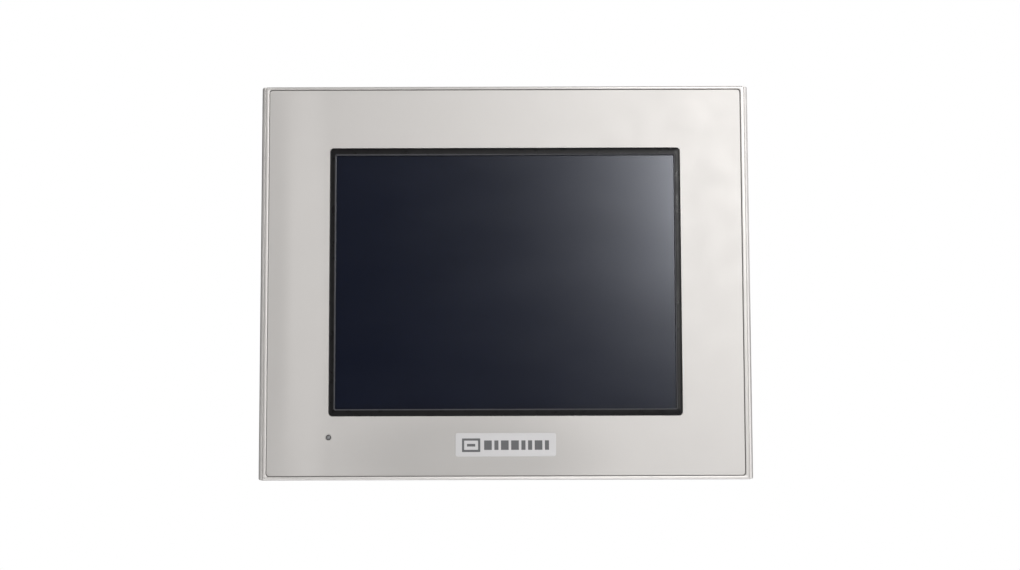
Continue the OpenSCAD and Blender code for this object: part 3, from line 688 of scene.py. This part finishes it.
def make_name_plate():
    """A satin plate in a shallow seat; its mark is generic: a small screen and blocks."""
    w, h, thick, lay = seat("name_plate", "front")
    Part().plate(w, h, 0.8, 0, thick, 0.12).lay(lay).put(
        "name_plate_body", "plate_silver", replaces=("name_plate",))
    base, top = thick - PROUD, thick + PROUD
    left = -w / 2 + 2.2
    tall, wide, line, drop = 4.6, 6.2, 0.75, -0.15
    centre = left + wide / 2
    outer, inner = (wide, tall, 0.2), (wide - 2 * line, tall - 2 * line, 0.1)
    mark = Part().frame([(*outer, base), (*outer, top), (*inner, top), (*inner, base)])
    mark.lay(Matrix.Translation((centre, drop, 0)))
    blocks = [(around(centre, 1.4), 0.45)]
    place = left + wide + 1.3
    for length in MARK_BLOCKS:
        blocks.append(((place, place + length), 1.6))
        place += length + 0.85
    for x, half in blocks:
        mark.box(x, around(drop, half), (base, top), 0.015, 1)
    mark.lay(lay).put("name_plate_mark", "window_black", paint=INK)


def make_window_frame():
    """Black frame, and inside it a paler grey lip that slopes down to the film."""
    w, h, deep, lay = seat("window_frame", "front")
    inner_w, inner_h = w - FRAME_WIDE, h - FRAME_TALL
    seam_w, seam_h = inner_w + 2 * LIP, inner_h + 2 * LIP

    def ring(name, rows, paint=None, replaces=()):
        """A frame from rows of its outline's size, how much that grows, corner radius and h."""
        Part().frame([(wide + more, tall + more, r, height)
                      for (wide, tall), more, r, height in rows]).lay(lay).put(
            name, "window_black", replaces=replaces, paint=paint, smooth=25)

    outside, seam, inside = (w, h), (seam_w, seam_h), (inner_w, inner_h)
    ring("window_frame_moulding", [
        (outside, 0, 1.15, 0), (outside, 0, 1.15, deep - 0.15), (outside, -0.09, 1.1, deep - 0.04),
        (outside, -0.3, 1.0, deep), (seam, 0.1, 0.85, deep), (seam, 0.02, 0.8, deep - 0.05),
        (seam, 0.02, 0.8, 0)], replaces=("window_frame",))
    ring("window_frame_lip", [
        (seam, 0, 0.8, 0), (seam, 0, 0.8, deep - 0.12), (seam, -0.16, 0.75, deep - 0.03),
        (seam, -0.4, 0.65, deep - 0.01), (inside, 0.16, 0.55, deep - 0.08),
        (inside, 0, 0.5, deep - 0.2), (inside, 0, 0.5, 0)], LIP_GREY)


def make_status_light():
    """A domed lens in a dark ring and a silver collar, with the light pipe's shank behind."""
    _, _, deep, lay = seat("status_light_pipe", "front")
    face = deep - 0.1  # the sheet's own surface
    Part().turned([(1.6, 0), (1.6, 4.7), (1.5, 4.8), (0.62, 4.85), (0.62, deep - 0.12),
                   (0.5, deep - 0.05), (0.3, deep - 0.01), (0.1, deep)]).lay(lay).put(
        "status_light_lens", "light_pipe", replaces=("status_light_pipe",))
    for inner, outer, top, name, slot, paint in (
            (0.64, 0.88, deep - 0.02, "status_light_ring", "window_black", RING),
            (0.88, 1.09, face, "status_light_collar", "silver_sheet", None)):
        base = deep - 3
        profile = ((inner, base), (outer, base), (outer, top - 0.06), (outer - 0.05, top),
                   (inner + 0.06, top), (inner, top - 0.07))
        Part().turned(profile, closed=True).lay(lay).put(name, slot, paint=paint)


def make_gasket():
    """Foam sealing ring with two rounded sealing ribs on its rear face."""
    w, h, _, lay = seat("panel_gasket", "back")
    wide, corner, shrink = 2.5, 2.8, 0.24
    profile = [(0, 0), (0, 1.45), (0.25, 1.72), (0.55, 1.8), (0.85, 1.72), (1.15, 1.5),
               (1.35, 1.5), (1.65, 1.72), (1.95, 1.8), (2.25, 1.72), (wide, 1.45), (wide, 0)]
    Part().frame([(w - 2 * inset, h - 2 * inset, corner - inset * shrink, height)
                  for inset, height in profile]).lay(lay).put(
        "panel_gasket_ring", "gasket", replaces=("panel_gasket",), smooth=50)


def make_bezel():
    """The moulded bezel: its CAD solid, with the edges on its very front rounded."""
    part = copied("front_bezel", 1)
    face = (span("front_bezel")[0].y + 0.01) * MM
    rim = [e for e in part.bm.edges
           if len(e.link_faces) == 2 and e.calc_face_angle(0) > radians(40)
           and max(v.co.y for v in e.verts) < face]
    bmesh.ops.bevel(part.bm, geom=rim, offset=0.27 * MM, segments=3, profile=0.5,
                    affect="EDGES", clamp_overlap=True)
    part.lay(Matrix.Scale(1 / MM, 4)).put(
        "front_bezel_moulding", "silver_bezel", replaces=("front_bezel",))


def make_gap_shade_strip():
    """A dark strip in the gap between the sheet and the bezel's lip: painted shade where the gap
    lies in shadow.
    """
    w, h, _, lay = seat("front_sheet", "front")
    out, deep, under = 0.66, 0.16, 0.3
    off_centre = Matrix.Translation((0.12, -0.01, 0.05))
    Part().frame([
        (w - under, h - under, 1, 0), (w + out, h + out, 1.1, 0), (w + out, h + out, 1.1, deep),
        (w + 0.3, h + 0.3, 1.05, deep - 0.05), (w - under, h - under, 1, deep - 0.05)]).lay(
        off_centre @ lay).put("sheet_gap_painted_shade", "gasket", paint=GAP_PAINTED_SHADE)


make_bezel()
make_gap_shade_strip()
make_name_plate()
make_window_frame()
make_status_light()
make_gasket()


# ---------- screws ----------

CASE_SCREW_INSET = 2.9  # centres of the corner screws, in from their common box
CASE_SCREW_SEAT = 1.7  # depth of the heads' seats below the box's rear side


def cross_head(radius, height, domed, turn):
    """A screw head with a cross recess; its seat is at height 0."""
    crown = height * domed
    head = Part().turned([
        (0.5, 0), (radius - 0.12, 0), (radius, 0.12), (radius, height - crown),
        (radius * 0.93, height - crown * 0.5), (radius * 0.72, height - crown * 0.16),
        (radius * 0.4, height - crown * 0.03), (0, height)], 36)
    reach, arm = radius * 0.58, radius * 0.15
    tip = height - min(height * 0.75, radius * 0.6)
    quarter = [(reach, -arm), (reach, arm), (arm, arm)]
    outline = []
    for _ in range(4):
        outline += quarter
        quarter = [(-z, x) for x, z in quarter]
    spin = Matrix.Rotation(turn, 2)
    rings = [at_height([spin @ Vector((x * share, z * share)) for x, z in outline], h)
             for share, h in ((0.35, tip), (1, height - 0.05), (1.02, height + 1))]
    return head.cut(Part().loft(rings))


def make_case_screws():
    low, high, _ = span("case_screws")
    screws = Part()
    for x in (low.x + CASE_SCREW_INSET, high.x - CASE_SCREW_INSET):
        for z in (low.z + CASE_SCREW_INSET, high.z - CASE_SCREW_INSET):
            turn = random.uniform(0, pi)
            lay = facing("back", (x, high.y - CASE_SCREW_SEAT, z))
            screws.merge(cross_head(2.9, CASE_SCREW_SEAT, 0.5, turn), lay)
            screws.merge(Part().turned([(0.6, -6.0), (1.05, -5.4), (1.05, 0.2)], 24), lay)
            screws.merge(Part().thread(1.05, 1.25, 0.8, -5.6, -1.2), lay)
    screws.put("case_screw_set", "screw_steel", replaces=("case_screws",))


def make_clamp_screw(i):
    """A pan-head clamp screw: threaded from its nose to just under the head."""
    _, wide, deep, lay = seat(f"clamp_screw_{i}", "back")
    head, core, crest, nose = 2.0, 1.24, 1.5, 1.15
    length = deep - head
    screw = cross_head(wide / 2, head, 0.45, 0.5 * i).lay(Matrix.Translation((0, 0, length)))
    screw.turned([(0.35, 0.02), (0.75, 0.1), (1.0, 0.3), (1.0, nose), (core, nose + 0.25),
                  (core, length + 0.1)], 28)
    screw.thread(core, crest, 0.5, nose + 0.1, length - 0.9)
    screw.lay(lay).put(
        f"clamp_screw_{i}_threaded", "screw_steel", f"clamp_{i}", (f"clamp_screw_{i}",))


def make_clamp_pad(i):
    """The pad that meets the panel: a ribbed rim, a ringed face and a socket for the nose."""
    _, wide, thick, lay = seat(f"clamp_pad_{i}", "back")
    radius = wide / 2
    profile = [(1.05, thick), (1.05, 0.6), (0.02, 0.6), (0.02, 0.1), (0.7, 0.1), (0.85, 0),
               (1.3, 0), (1.45, 0.12), (1.6, 0), (radius - 0.2, 0), (radius, 0.2),
               (radius, thick - 0.15), (radius - 0.15, thick)]
    rings = []
    for r, h in profile:
        ribs = [0.94 if r > radius - 0.1 and k % 4 < 2 else 1 for k in range(72)]
        rings.append([(x * rib, z * rib, h) for (x, z), rib in zip(circle(r, 72), ribs)])
    Part().loft(rings, closed=True).lay(lay).put(
        f"clamp_pad_{i}_moulding", "pad_black", f"pad_{i}", (f"clamp_pad_{i}",))


def make_terminal_screw(i):
    """A slotted cheese-head screw in the plug."""
    wide, _, deep, lay = seat(f"terminal_screw_{i}", "back")
    radius, head = wide / 2, 1.85
    length = deep - head
    screw = Part().turned([
        (0.5, length), (radius - 0.1, length), (radius, length + 0.1),
        (radius, length + head - 0.2), (radius - 0.2, length + head), (0, length + head)], 32)
    slot = Part().box(around(0, 3), around(0, 0.35), (length + 1.05, length + 3))
    screw.cut(slot.lay(Matrix.Rotation(radians(45 - 40 * i), 4, "Z")))
    screw.turned([(0.6, 0), (1.0, 0.35), (1.0, length + 0.1)], 24)
    screw.thread(1.0, 1.2, 0.5, 0.3, length - 0.4)
    screw.lay(lay).put(
        f"terminal_screw_{i}_slotted", "screw_steel", f"screw_{i}", (f"terminal_screw_{i}",))


make_case_screws()
for number in (1, 2, 3, 4):
    make_clamp_screw(number)
    make_clamp_pad(number)
for number in (1, 2, 3):
    make_terminal_screw(number)


# ---------- rear face ----------

def make_rating_label():
    """A label with rounded corners; its print is generic: rules, blocks and a bar field."""
    w, h, thick, lay = seat("rating_label", "back")
    Part().plate(w, h, 1, 0, thick, 0.05).lay(lay).put(
        "rating_label_film", "label_silver", replaces=("rating_label",))
    ink = Part()

    def bar(x, z):
        ink.box(x, z, (thick - 0.02, thick + 0.012))

    margin, line, text = 2.5, 0.18, 0.45
    left, right, top, bottom = margin - w / 2, w / 2 - margin, h / 2 - margin, margin - h / 2
    for z in (top, top - 6.5, bottom):
        bar((left, right), around(z, line))
    for x in (left, right):
        bar(around(x, line), (bottom, top))
    bar((left + 2, left + 20), (top - 4.3, top - 2.2))
    bar((right - 13, right - 2), (top - 3.9, top - 2.6))
    for row in range(6):
        z = top - 9.5 - row * 2.7
        bar((left + 2, left + 2 + random.uniform(5, 9)), around(z, text))
        place = left + 14
        for _ in range(3):
            length = random.uniform(2.5, 6)
            bar((place, place + length), around(z, text))
            place += length + 0.9
    field = right - 24
    place = field
    while place < right - 2.5:
        width = random.choice((0.2, 0.35, 0.6))
        bar((place, place + width), (bottom + 2, bottom + 9))
        place += width + random.choice((0.25, 0.4, 0.7))
    for k in range(3):
        bar((field + k * 7.5, field + 5 + k * 7.5), (top - 12.5, top - 8.5))
    ink.lay(lay).put("rating_label_print", "label_silver", paint=INK)


make_rating_label()


# ---------- ports ----------

LOCK_PITCH = 12.495  # jackscrews either side of a serial port's centre
FLANGE_HALF = 15.4  # half a serial shell's width
FLANGE_THICK = 0.8
CONTACT_PITCH = 2.77
CONTACT_ROW = 1.42  # each row's distance from a serial port's middle
SHELL_SIDE = 4.15  # a serial shell's long sides from its middle
NETWORK_PITCH = 1.02
USB_TONGUE_FACE = 21.94  # the face of the tongue that carries the contacts
POLE_PITCH = 5.08  # between the power plug's poles


def serial_centres():
    """Centres of the two serial ports on their flanges' outer face, which points down."""
    low, high, mid = span("com_shells")
    return [(x, mid.y, high.z - FLANGE_THICK)
            for x in (low.x + FLANGE_HALF, high.x - FLANGE_HALF)]


def contact_places():
    """Places of the nine contacts of a D-shaped port, five and then four."""
    return [((i - (count - 1) / 2) * CONTACT_PITCH, z)
            for count, z in ((5, -CONTACT_ROW), (4, CONTACT_ROW)) for i in range(count)]


def make_serial_contacts():
    first, second = serial_centres()
    pins, sockets = Part(), Part()
    for place in contact_places():
        pins.turned([(0.52, -4.8), (0.52, 4.9), (0.42, 5.2), (0.22, 5.32)], 20, place)
        sockets.turned([(0.53, 1.5), (0.53, 5.15), (0.45, 5.25), (0.36, 5.1), (0.36, 1.5)],
                       20, place, closed=True)
    pins.lay(facing("down", first)).put("serial_port_1_pins", "brass_plated", paint=GOLD)
    sockets.lay(facing("down", second)).put("serial_port_2_sockets", "brass_plated", paint=GOLD)


def cut_hexagon(across, limit):
    """A hexagon's outline cut by a cone or bore: no point lies further out than limit."""
    points = []
    for x, z in circle(1, 48):
        a = atan2(z, x) % (pi / 3) - pi / 6
        r = min(across / 2 / cos(a), limit)
        points.append((x * r, z * r))
    return points


def make_jackscrews():
    """Hexagonal screwlocks with a chamfered end, a threaded bore and a plain shank."""
    across, top, step = 2.75 * sqrt(3), 4.88, 0.22
    rows = [(1.2, -5.3), (1.45, -5.1), (1.45, 0.02), (2.45, 0.02), (3, 0.32), (3, 4.45),
            (2.5, top), (1.42, top)]
    bore, other, h = 1.3, 1.1, top - step
    while h > 0.8:
        rows.append((bore, h))
        bore, other = other, bore
        h -= step
    rows.append((0.3, h))
    locks = Part()
    for x, y, z in serial_centres():
        for side in (-1, 1):
            lock = Part().loft([at_height(cut_hexagon(across, limit), height)
                                for limit, height in rows])
            locks.merge(lock, facing("down", (x + side * LOCK_PITCH, y, z)))
    locks.put("jackscrew_set", "screw_steel", replaces=("jackscrews",))


def make_shell_dimples():
    """Small pressed dimples that grip the mating shell, on each serial port's long sides."""
    dimples = Part()
    for (x, y, z), places in zip(serial_centres(), ((-3.6, 0, 3.6), (-4.2, 4.2))):
        for side in (-1, 1):
            rise = Matrix.Rotation(side * pi / 2, 4, "X")
            for place in places:
                dome = Part().turned(
                    [(0.85, -0.1), (0.75, 0.08), (0.5, 0.2), (0.2, 0.26), (0, 0.27)], 20)
                middle = (x + place, y - side * SHELL_SIDE, z - 4.4)
                dimples.merge(dome, Matrix.Translation(middle) @ rise)
    dimples.put("serial_shell_dimples", "shell_steel")


def make_network_port():
    """Eight spring contacts, two lamp windows and side fingers in the network socket."""
    lay = seat("ethernet_shell", "down")[-1]
    contacts = Part()
    for i in range(8):
        x = (i - 3.5) * NETWORK_PITCH
        contacts.loft([strip(around(x, 0.2), (depth, depth + 0.32), h) for h, depth in (
            (-1.6, 4.45), (-4.0, 3.9), (-10.5, 0.9), (-12.4, 0.4))])
    contacts.lay(lay).put("network_port_contacts", "brass_plated", paint=GOLD)
    for side, paint, name in ((-1, LAMP_GREEN, "green"), (1, LAMP_AMBER, "amber")):
        Part().plate(3.2, 1.9, 0.3, -1, -0.12, 0.12, (side * 5.5, -5.2)).lay(lay).put(
            f"network_lamp_{name}", "light_pipe", paint=paint)
    fingers = Part()
    for side in (-1, 1):
        fingers.loft([strip((side * out, side * (out + 0.12)), (-2.4, 0.6), h) for h, out in (
            (-0.35, 7.68), (-1.4, 7.2), (-2.6, 6.75), (-4.4, 6.75), (-6.0, 7.6))])
    fingers.lay(lay).put("network_shell_fingers", "shell_steel")


def make_usb_port():
    """Four contacts on the tongue, and two leaf springs pressed into the shell."""
    lay = seat("usb_shell", "down")[-1]
    face = span("usb_shell")[2].y - USB_TONGUE_FACE
    contacts = Part()
    for x in (-3.5, -1.0, 1.0, 3.5):
        contacts.box(around(x, 0.5), (face - 0.12, face + 0.1), (-10.5, -2.6), 0.05)
    contacts.lay(lay).put("usb_port_contacts", "brass_plated", paint=GOLD)
    springs = Part()
    for x in (-2.6, 2.6):
        springs.loft([strip(around(x, 0.85), (-rise, -rise - 0.12), h) for h, rise in (
            (-0.4, 2.58), (-2.2, 2.15), (-3.6, 1.75), (-5.0, 1.9), (-7.5, 2.58))])
    springs.lay(lay).put("usb_shell_springs", "shell_steel")


def make_power_plug():
    """The green plug: grooves between its poles, finger ribs and printed polarity marks."""
    low, high, mid = span("power_plug")
    back = high.y
    grooves = Part()
    for side in (-0.5, 0.5):
        grooves.box(around(mid.x + side * POLE_PITCH, 0.25), (back - 0.4, back + 1),
                    (low.z - 1, -50.9))
    for side in (-1, 1):
        edge = mid.x + side * (high.x - low.x) / 2
        for k in range(5):
            grooves.box(sorted((edge - side * 0.3, edge + side)), (21.5, 31.5),
                        around(low.z + 2.2 + k * 1.5, 0.3))
    piece = copied("power_plug").cut(grooves).put(
        "power_plug_moulding", "terminal_green", "plug", ("power_plug",), smooth=30)
    soften(piece, 0.18)
    top, long, line = -52.5, 1.7, 0.32
    plus, common, earth = POLE_PITCH, 0, -POLE_PITCH
    strokes = [(plus, top, long, line), (plus, top, line, long), (common, top, long, line)]
    strokes += [(earth, top - 0.1 - 0.5 * k, w, 0.24) for k, w in enumerate((long, 1.1, 0.5))]
    strokes += [(earth, top + 0.45, 0.24, 1.0)]
    marks = Part()
    for x, z, w, h in strokes:
        marks.box(around(mid.x + x, w / 2), (back - 0.05, back + 0.02), around(z, h / 2))
    marks.put("power_plug_marks", "port_white", "plug", paint=WHITE_INK)


make_serial_contacts()
make_jackscrews()
make_shell_dimples()
make_network_port()
make_usb_port()
make_power_plug()


# ---------- electronics, seen through the vents and the card bay ----------

BOARD_FACE = span("main_board")[1].y  # rear face of the main board
POWER_FACE = span("power_board")[1].y  # rear face of the power board
CHIPS = [  # x range, z range, height, leg pitch, four sides
    ((-24, 3), (0, 27), 2.2, 1.0, True),
    ((-48, -34), (12, 34), 1.2, 0.8, False),
    ((9, 20), (14, 32), 1.2, 0.8, False),
    ((-36, -26), (-22, -12), 1.4, 0.8, True),
    ((4, 12), (-24, -12), 2.0, 1.27, False),
    ((30, 38), (-30, -18), 2.0, 1.27, False),
]
LEG_REACH = 0.8  # how far legs stand out of a package
BOARD_POSTS = [(x, z) for x in (-52, 10) for z in (-30, 44)]
CAPACITORS = [(-46, -18), (-34, -18), (-22, -18)]
TRANSFORMER = (-29, 13)
CHOKE = (-2, 20)
BUZZER = (-2, -12)
FUSE = (-60, 7)
HEADER_X, HEADER_Z = (-20, 2), (-35, -31)
HEADER_PITCH = 2.54
CARD_PITCH = 1.27
CELL_X, CELL_Z = 3.2, 2.4  # spacing of the small parts
SMALL_PARTS = [  # board face, x range, z range, how many
    (BOARD_FACE, (-22, 4), (35, 50), 26), (BOARD_FACE, (-46, -28), (-6, 8), 22),
    (BOARD_FACE, (5, 25), (-8, 10), 24), (POWER_FACE, (-68, -54), (17, 46), 34),
    (POWER_FACE, (-46, -8), (26, 42), 34), (POWER_FACE, (6, 20), (-34, 40), 40),
]
TAPE = plastic("winding_tape", (0.62, 0.42, 0.06), 0.4)
COPPER = metal("enamelled_copper", (0.55, 0.22, 0.09), 0.3)
FERRITE = plastic("ferrite_core", (0.035, 0.035, 0.038), 0.6, 0.2, 0.01)
SLEEVE = gloss("capacitor_sleeve", (0.015, 0.02, 0.045), 0.3, 0.001)
STRIPE = gloss("sleeve_stripe", (0.42, 0.44, 0.47), 0.35, 0.001)
CERAMIC = plastic("resistor_body", (0.06, 0.055, 0.05), 0.5)
SOLDER = metal("solder", (0.7, 0.7, 0.69), 0.3)
FUSE_GLASS = plastic("fuse_glass", (0.45, 0.5, 0.5), 0.08)


def on_power(place):
    return facing("back", (place[0], POWER_FACE, place[1]))


def put_power(part, name, paint=None, slot="chip_black"):
    """A piece that stands in for some of the power board's CAD blocks."""
    part.put(name, slot, replaces=("power_parts",), paint=paint)


def chip_legs(w, d, tall, pitch, four_sides):
    """Gull-wing legs along a chip's sides, in the chip's own axes."""
    legs = Part()
    shoulder = tall * 0.5
    path = ((-0.1, shoulder), (0.2, shoulder), (0.5, 0.02), (0.95, 0.0))
    section = ((-0.17, 0), (0.17, 0), (0.17, 0.13), (-0.17, 0.13))
    for half, length, turned in ((w / 2, d, False), (d / 2, w, True)):
        if turned and not four_sides:
            continue
        count = int((length - 2 * LEG_REACH) / pitch)
        for side in (-1, 1):
            for i in range(count + 1):
                place = (i - count / 2) * pitch
                rings = [[(side * (half + out), place + dp, h + dh) for dp, dh in section]
                         for out, h in path]
                if turned:
                    rings = [[(z, x, h) for x, z, h in ring] for ring in rings]
                legs.loft(rings)
    return legs


def make_chips():
    packages, legs = Part(), Part()
    for (x0, x1), (z0, z1), tall, pitch, four_sides in CHIPS:
        w = x1 - x0 - 2 * LEG_REACH
        d = z1 - z0 - (2 * LEG_REACH if four_sides else 0.2)
        lay = facing("back", ((x0 + x1) / 2, BOARD_FACE, (z0 + z1) / 2))
        package = Part().plate(w, d, 0.3, 0.1, tall, 0.15)
        dot = Part().turned(
            [(0, tall - 0.08), (0.5, tall - 0.08), (0.5, tall + 0.5), (0, tall + 0.5)], 20,
            (1.2 - w / 2, d / 2 - 1.2))
        packages.merge(package.cut(dot), lay)
        legs.merge(chip_legs(w, d, tall, pitch, four_sides), lay)
    packages.put("chip_packages", "chip_black", replaces=("processor_chips",))
    legs.put("chip_legs", "chip_black", paint=SOLDER)


def make_capacitors():
    """Three cans with a crimped sleeve, a scored top and a pale polarity stripe."""
    sleeves, tops, stripes = Part(), Part(), Part()
    arc = [radians(60 + 6 * k) for k in range(9)]
    outline = [(r * cos(a), r * sin(a))
               for r, way in ((4.5, 1), (4.4, -1)) for a in arc[::way]]
    for place in CAPACITORS:
        lay = on_power(place)
        sleeve = Part().turned([
            (4.2, 0), (4.45, 0.3), (4.45, 1.2), (4.15, 1.55), (4.15, 1.9), (4.45, 2.3),
            (4.45, 10.5), (4.3, 10.85), (4.0, 11), (3.9, 10.9), (3.9, 10.6), (0.5, 10.6)])
        sleeves.merge(sleeve, lay)
        top = Part().turned([(3.88, 10.5), (3.88, 10.82), (3.7, 10.9), (0, 10.9)])
        score = Part().box(around(0, 2.6), around(0, 0.12), (10.8, 11.5))
        score.box(around(0, 0.12), (0.13, 2.6), (10.8, 11.5))
        tops.merge(top.cut(score), lay)
        stripes.merge(Part().loft([at_height(outline, h) for h in (2.6, 10.3)]), lay)
    put_power(sleeves, "capacitor_sleeves", SLEEVE)
    put_power(tops, "capacitor_tops", slot="cell_steel")
    put_power(stripes, "capacitor_stripes", STRIPE)


def make_transformer():
    lay = on_power(TRANSFORMER)
    bobbin = Part().box(around(0, 8.8), around(0, 8.9), (0, 1.6), 0.3)
    bobbin.box(around(0, 8.2), around(0, 8.2), (8.6, 9.4), 0.3)
    winding = Part().plate(13.6, 16.6, 2.5, 1.5, 8.7, 0.4)
    core = Part()
    for x in ((-9, -6.9), (6.9, 9)):
        core.box(x, around(0, 4.2), (1.7, 10.4), 0.3)
    core.box(around(0, 9), around(0, 4.2), (9.45, 10.5), 0.3)
    put_power(bobbin.lay(lay), "transformer_bobbin")
    put_power(winding.lay(lay), "transformer_winding", TAPE)
    put_power(core.lay(lay), "transformer_core", FERRITE)


def make_round_parts():
    """The drum choke with its copper turns, and the buzzer with its sound hole."""
    core = Part().turned([
        (5.8, 0), (6, 0.2), (6, 1.1), (4.4, 1.2), (4.4, 4.8), (6, 4.9), (6, 5.8), (5.8, 6),
        (2.4, 6), (2.2, 5.7), (0, 5.7)])
    drum, wire, h = 4.3, 0.34, 1.25
    profile = [(drum, h)]
    while h < 4.7:
        profile += [(5.4, h + 0.04), (5.58, h + 0.17), (5.4, h + 0.3)]
        h += wire
    winding = Part().turned(profile + [(drum, h)])
    buzzer = Part().turned(
        [(6, 0), (6, 5.6), (5.7, 5.95), (1.5, 6), (1.3, 5.8), (1.25, 4.6), (0, 4.6)])
    put_power(core.lay(on_power(CHOKE)), "choke_core", FERRITE)
    put_power(winding.lay(on_power(CHOKE)), "choke_winding", COPPER)
    put_power(buzzer.lay(on_power(BUZZER)), "board_buzzer")


def make_fuse():
    lay = on_power(FUSE)
    upright = Matrix.Translation((0, 0, 5.6)) @ Matrix.Rotation(pi / 2, 4, "X")
    base = Part().box(around(0, 3.8), around(0, 6.9), (0, 2.6), 0.3)
    tube = Part().turned([(2.2, -4.0), (2.2, 4.0)], 32)
    clips = Part()
    for side in (-1, 1):
        cap = Part().turned([(2.3, 3.9), (2.5, 4.0), (2.5, 6.4), (2.3, 6.6), (0, 6.6)], 32)
        cap.lay(Matrix.Rotation(0 if side > 0 else pi, 4, "X"))
        clips.merge(cap, lay @ upright)
        for x in ((-2.95, -2.55), (2.55, 2.95)):
            clips.merge(Part().box(x, around(side * 5.2, 1), (2.5, 8.6), 0.1), lay)
    put_power(base.lay(lay), "fuse_base")
    put_power(tube.lay(lay @ upright), "fuse_glass", FUSE_GLASS, "light_pipe")
    put_power(clips, "fuse_clips", slot="shell_steel")


def make_board_header():
    """The header between the two boards: a moulded row at each end, and sixteen pins."""
    low, high = BOARD_FACE, POWER_FACE - 1.6
    rows, pins = Part(), Part()
    for y in ((low, low + 2.6), (high - 8.5, high)):
        rows.box(HEADER_X, y, HEADER_Z, 0.2)
    for i in range(8):
        x = sum(HEADER_X) / 2 + (i - 3.5) * HEADER_PITCH
        for z in (-34.2, -31.8):
            pins.box(around(x, 0.3), (low + 2.5, high - 8.4), around(z, 0.3), 0.05, 1)
    put_power(rows, "board_header_rows")
    put_power(pins, "board_header_pins", GOLD)


def make_small_parts():
    """Small ceramic parts with soldered ends, in loose rows on the boards' free areas."""
    bodies, ends = Part(), Part()
    for face, (x0, x1), (z0, z1), count in SMALL_PARTS:
        cells = [(x0 + CELL_X * i + CELL_X / 2, z0 + CELL_Z * k + CELL_Z / 2)
                 for i in range(int((x1 - x0) / CELL_X)) for k in range(int((z1 - z0) / CELL_Z))]
        cells = [cell for cell in cells if all(dist(cell, post) > 5 for post in BOARD_POSTS)]
        for x, z in random.sample(cells, min(count, len(cells))):
            long = random.choice((1.0, 1.6))
            tall = random.choice((0.45, 0.7))
            bodies.box(around(x, long / 2), (face, face + tall), around(z, 0.5), 0.06, 1)
            for side in (-1, 1):
                ends.box(around(x + side * long / 2, 0.25), (face, face + tall + 0.04),
                         around(z, 0.54), 0.08, 1)
    bodies.put("board_small_parts", "chip_black", paint=CERAMIC)
    ends.put("board_small_part_ends", "chip_black", paint=SOLDER)


def make_card_bay():
    """Pins at the back of the card slot, and stiffening ribs inside the cover."""
    pins = Part()
    for y in (22.45, 23.75):
        for i in range(25):
            pins.box((33.9, 40), around(y, 0.2), around(15.6 + (i - 12) * CARD_PITCH, 0.2),
                     0.05, 1)
    pins.put("card_socket_pins", "port_black", paint=GOLD)
    inner = span("card_cover")[1].x - 1.6
    low, high = 29.2, 35.0
    ribs = Part()
    for y in (low, high):
        ribs.box((inner - 1.1, inner + 0.1), around(y, 0.4), (-18, 44), 0.12)
    for z in (-16, -1, 14, 29, 42):
        ribs.box((inner - 0.9, inner + 0.1), (low, high), around(z, 0.4), 0.12)
    ribs.put("card_cover_ribs", "case_grey", "card_door")


make_chips()
make_capacitors()
make_transformer()
make_round_parts()
make_fuse()
make_board_header()
make_small_parts()
make_card_bay()


# ---------- carried-over nodes ----------

EDGES = {node: size for size, nodes in (  # rounding of the nodes that stay
    (0.0, "card_eject_lever"), (0.05, "front_sheet"), (0.08, "ethernet_shell usb_shell"),
    (0.1, "com_inserts"), (0.12, "com_shells"),
    (0.15, "ethernet_insert usb_tongue dip_housing lcd_tray chassis_plate"),
    (0.15, "terminal_cage_1 terminal_cage_2 terminal_cage_3"),
    (0.18, "dip_slider_1 dip_slider_2 dip_slider_3 dip_slider_4"),
    (0.2, "card_cover clamp_brackets power_header card_socket"),
    (0.25, "rear_case"), (0.35, "card_eject_button")) for node in nodes.split()}
for node in NODES:
    dress(node)
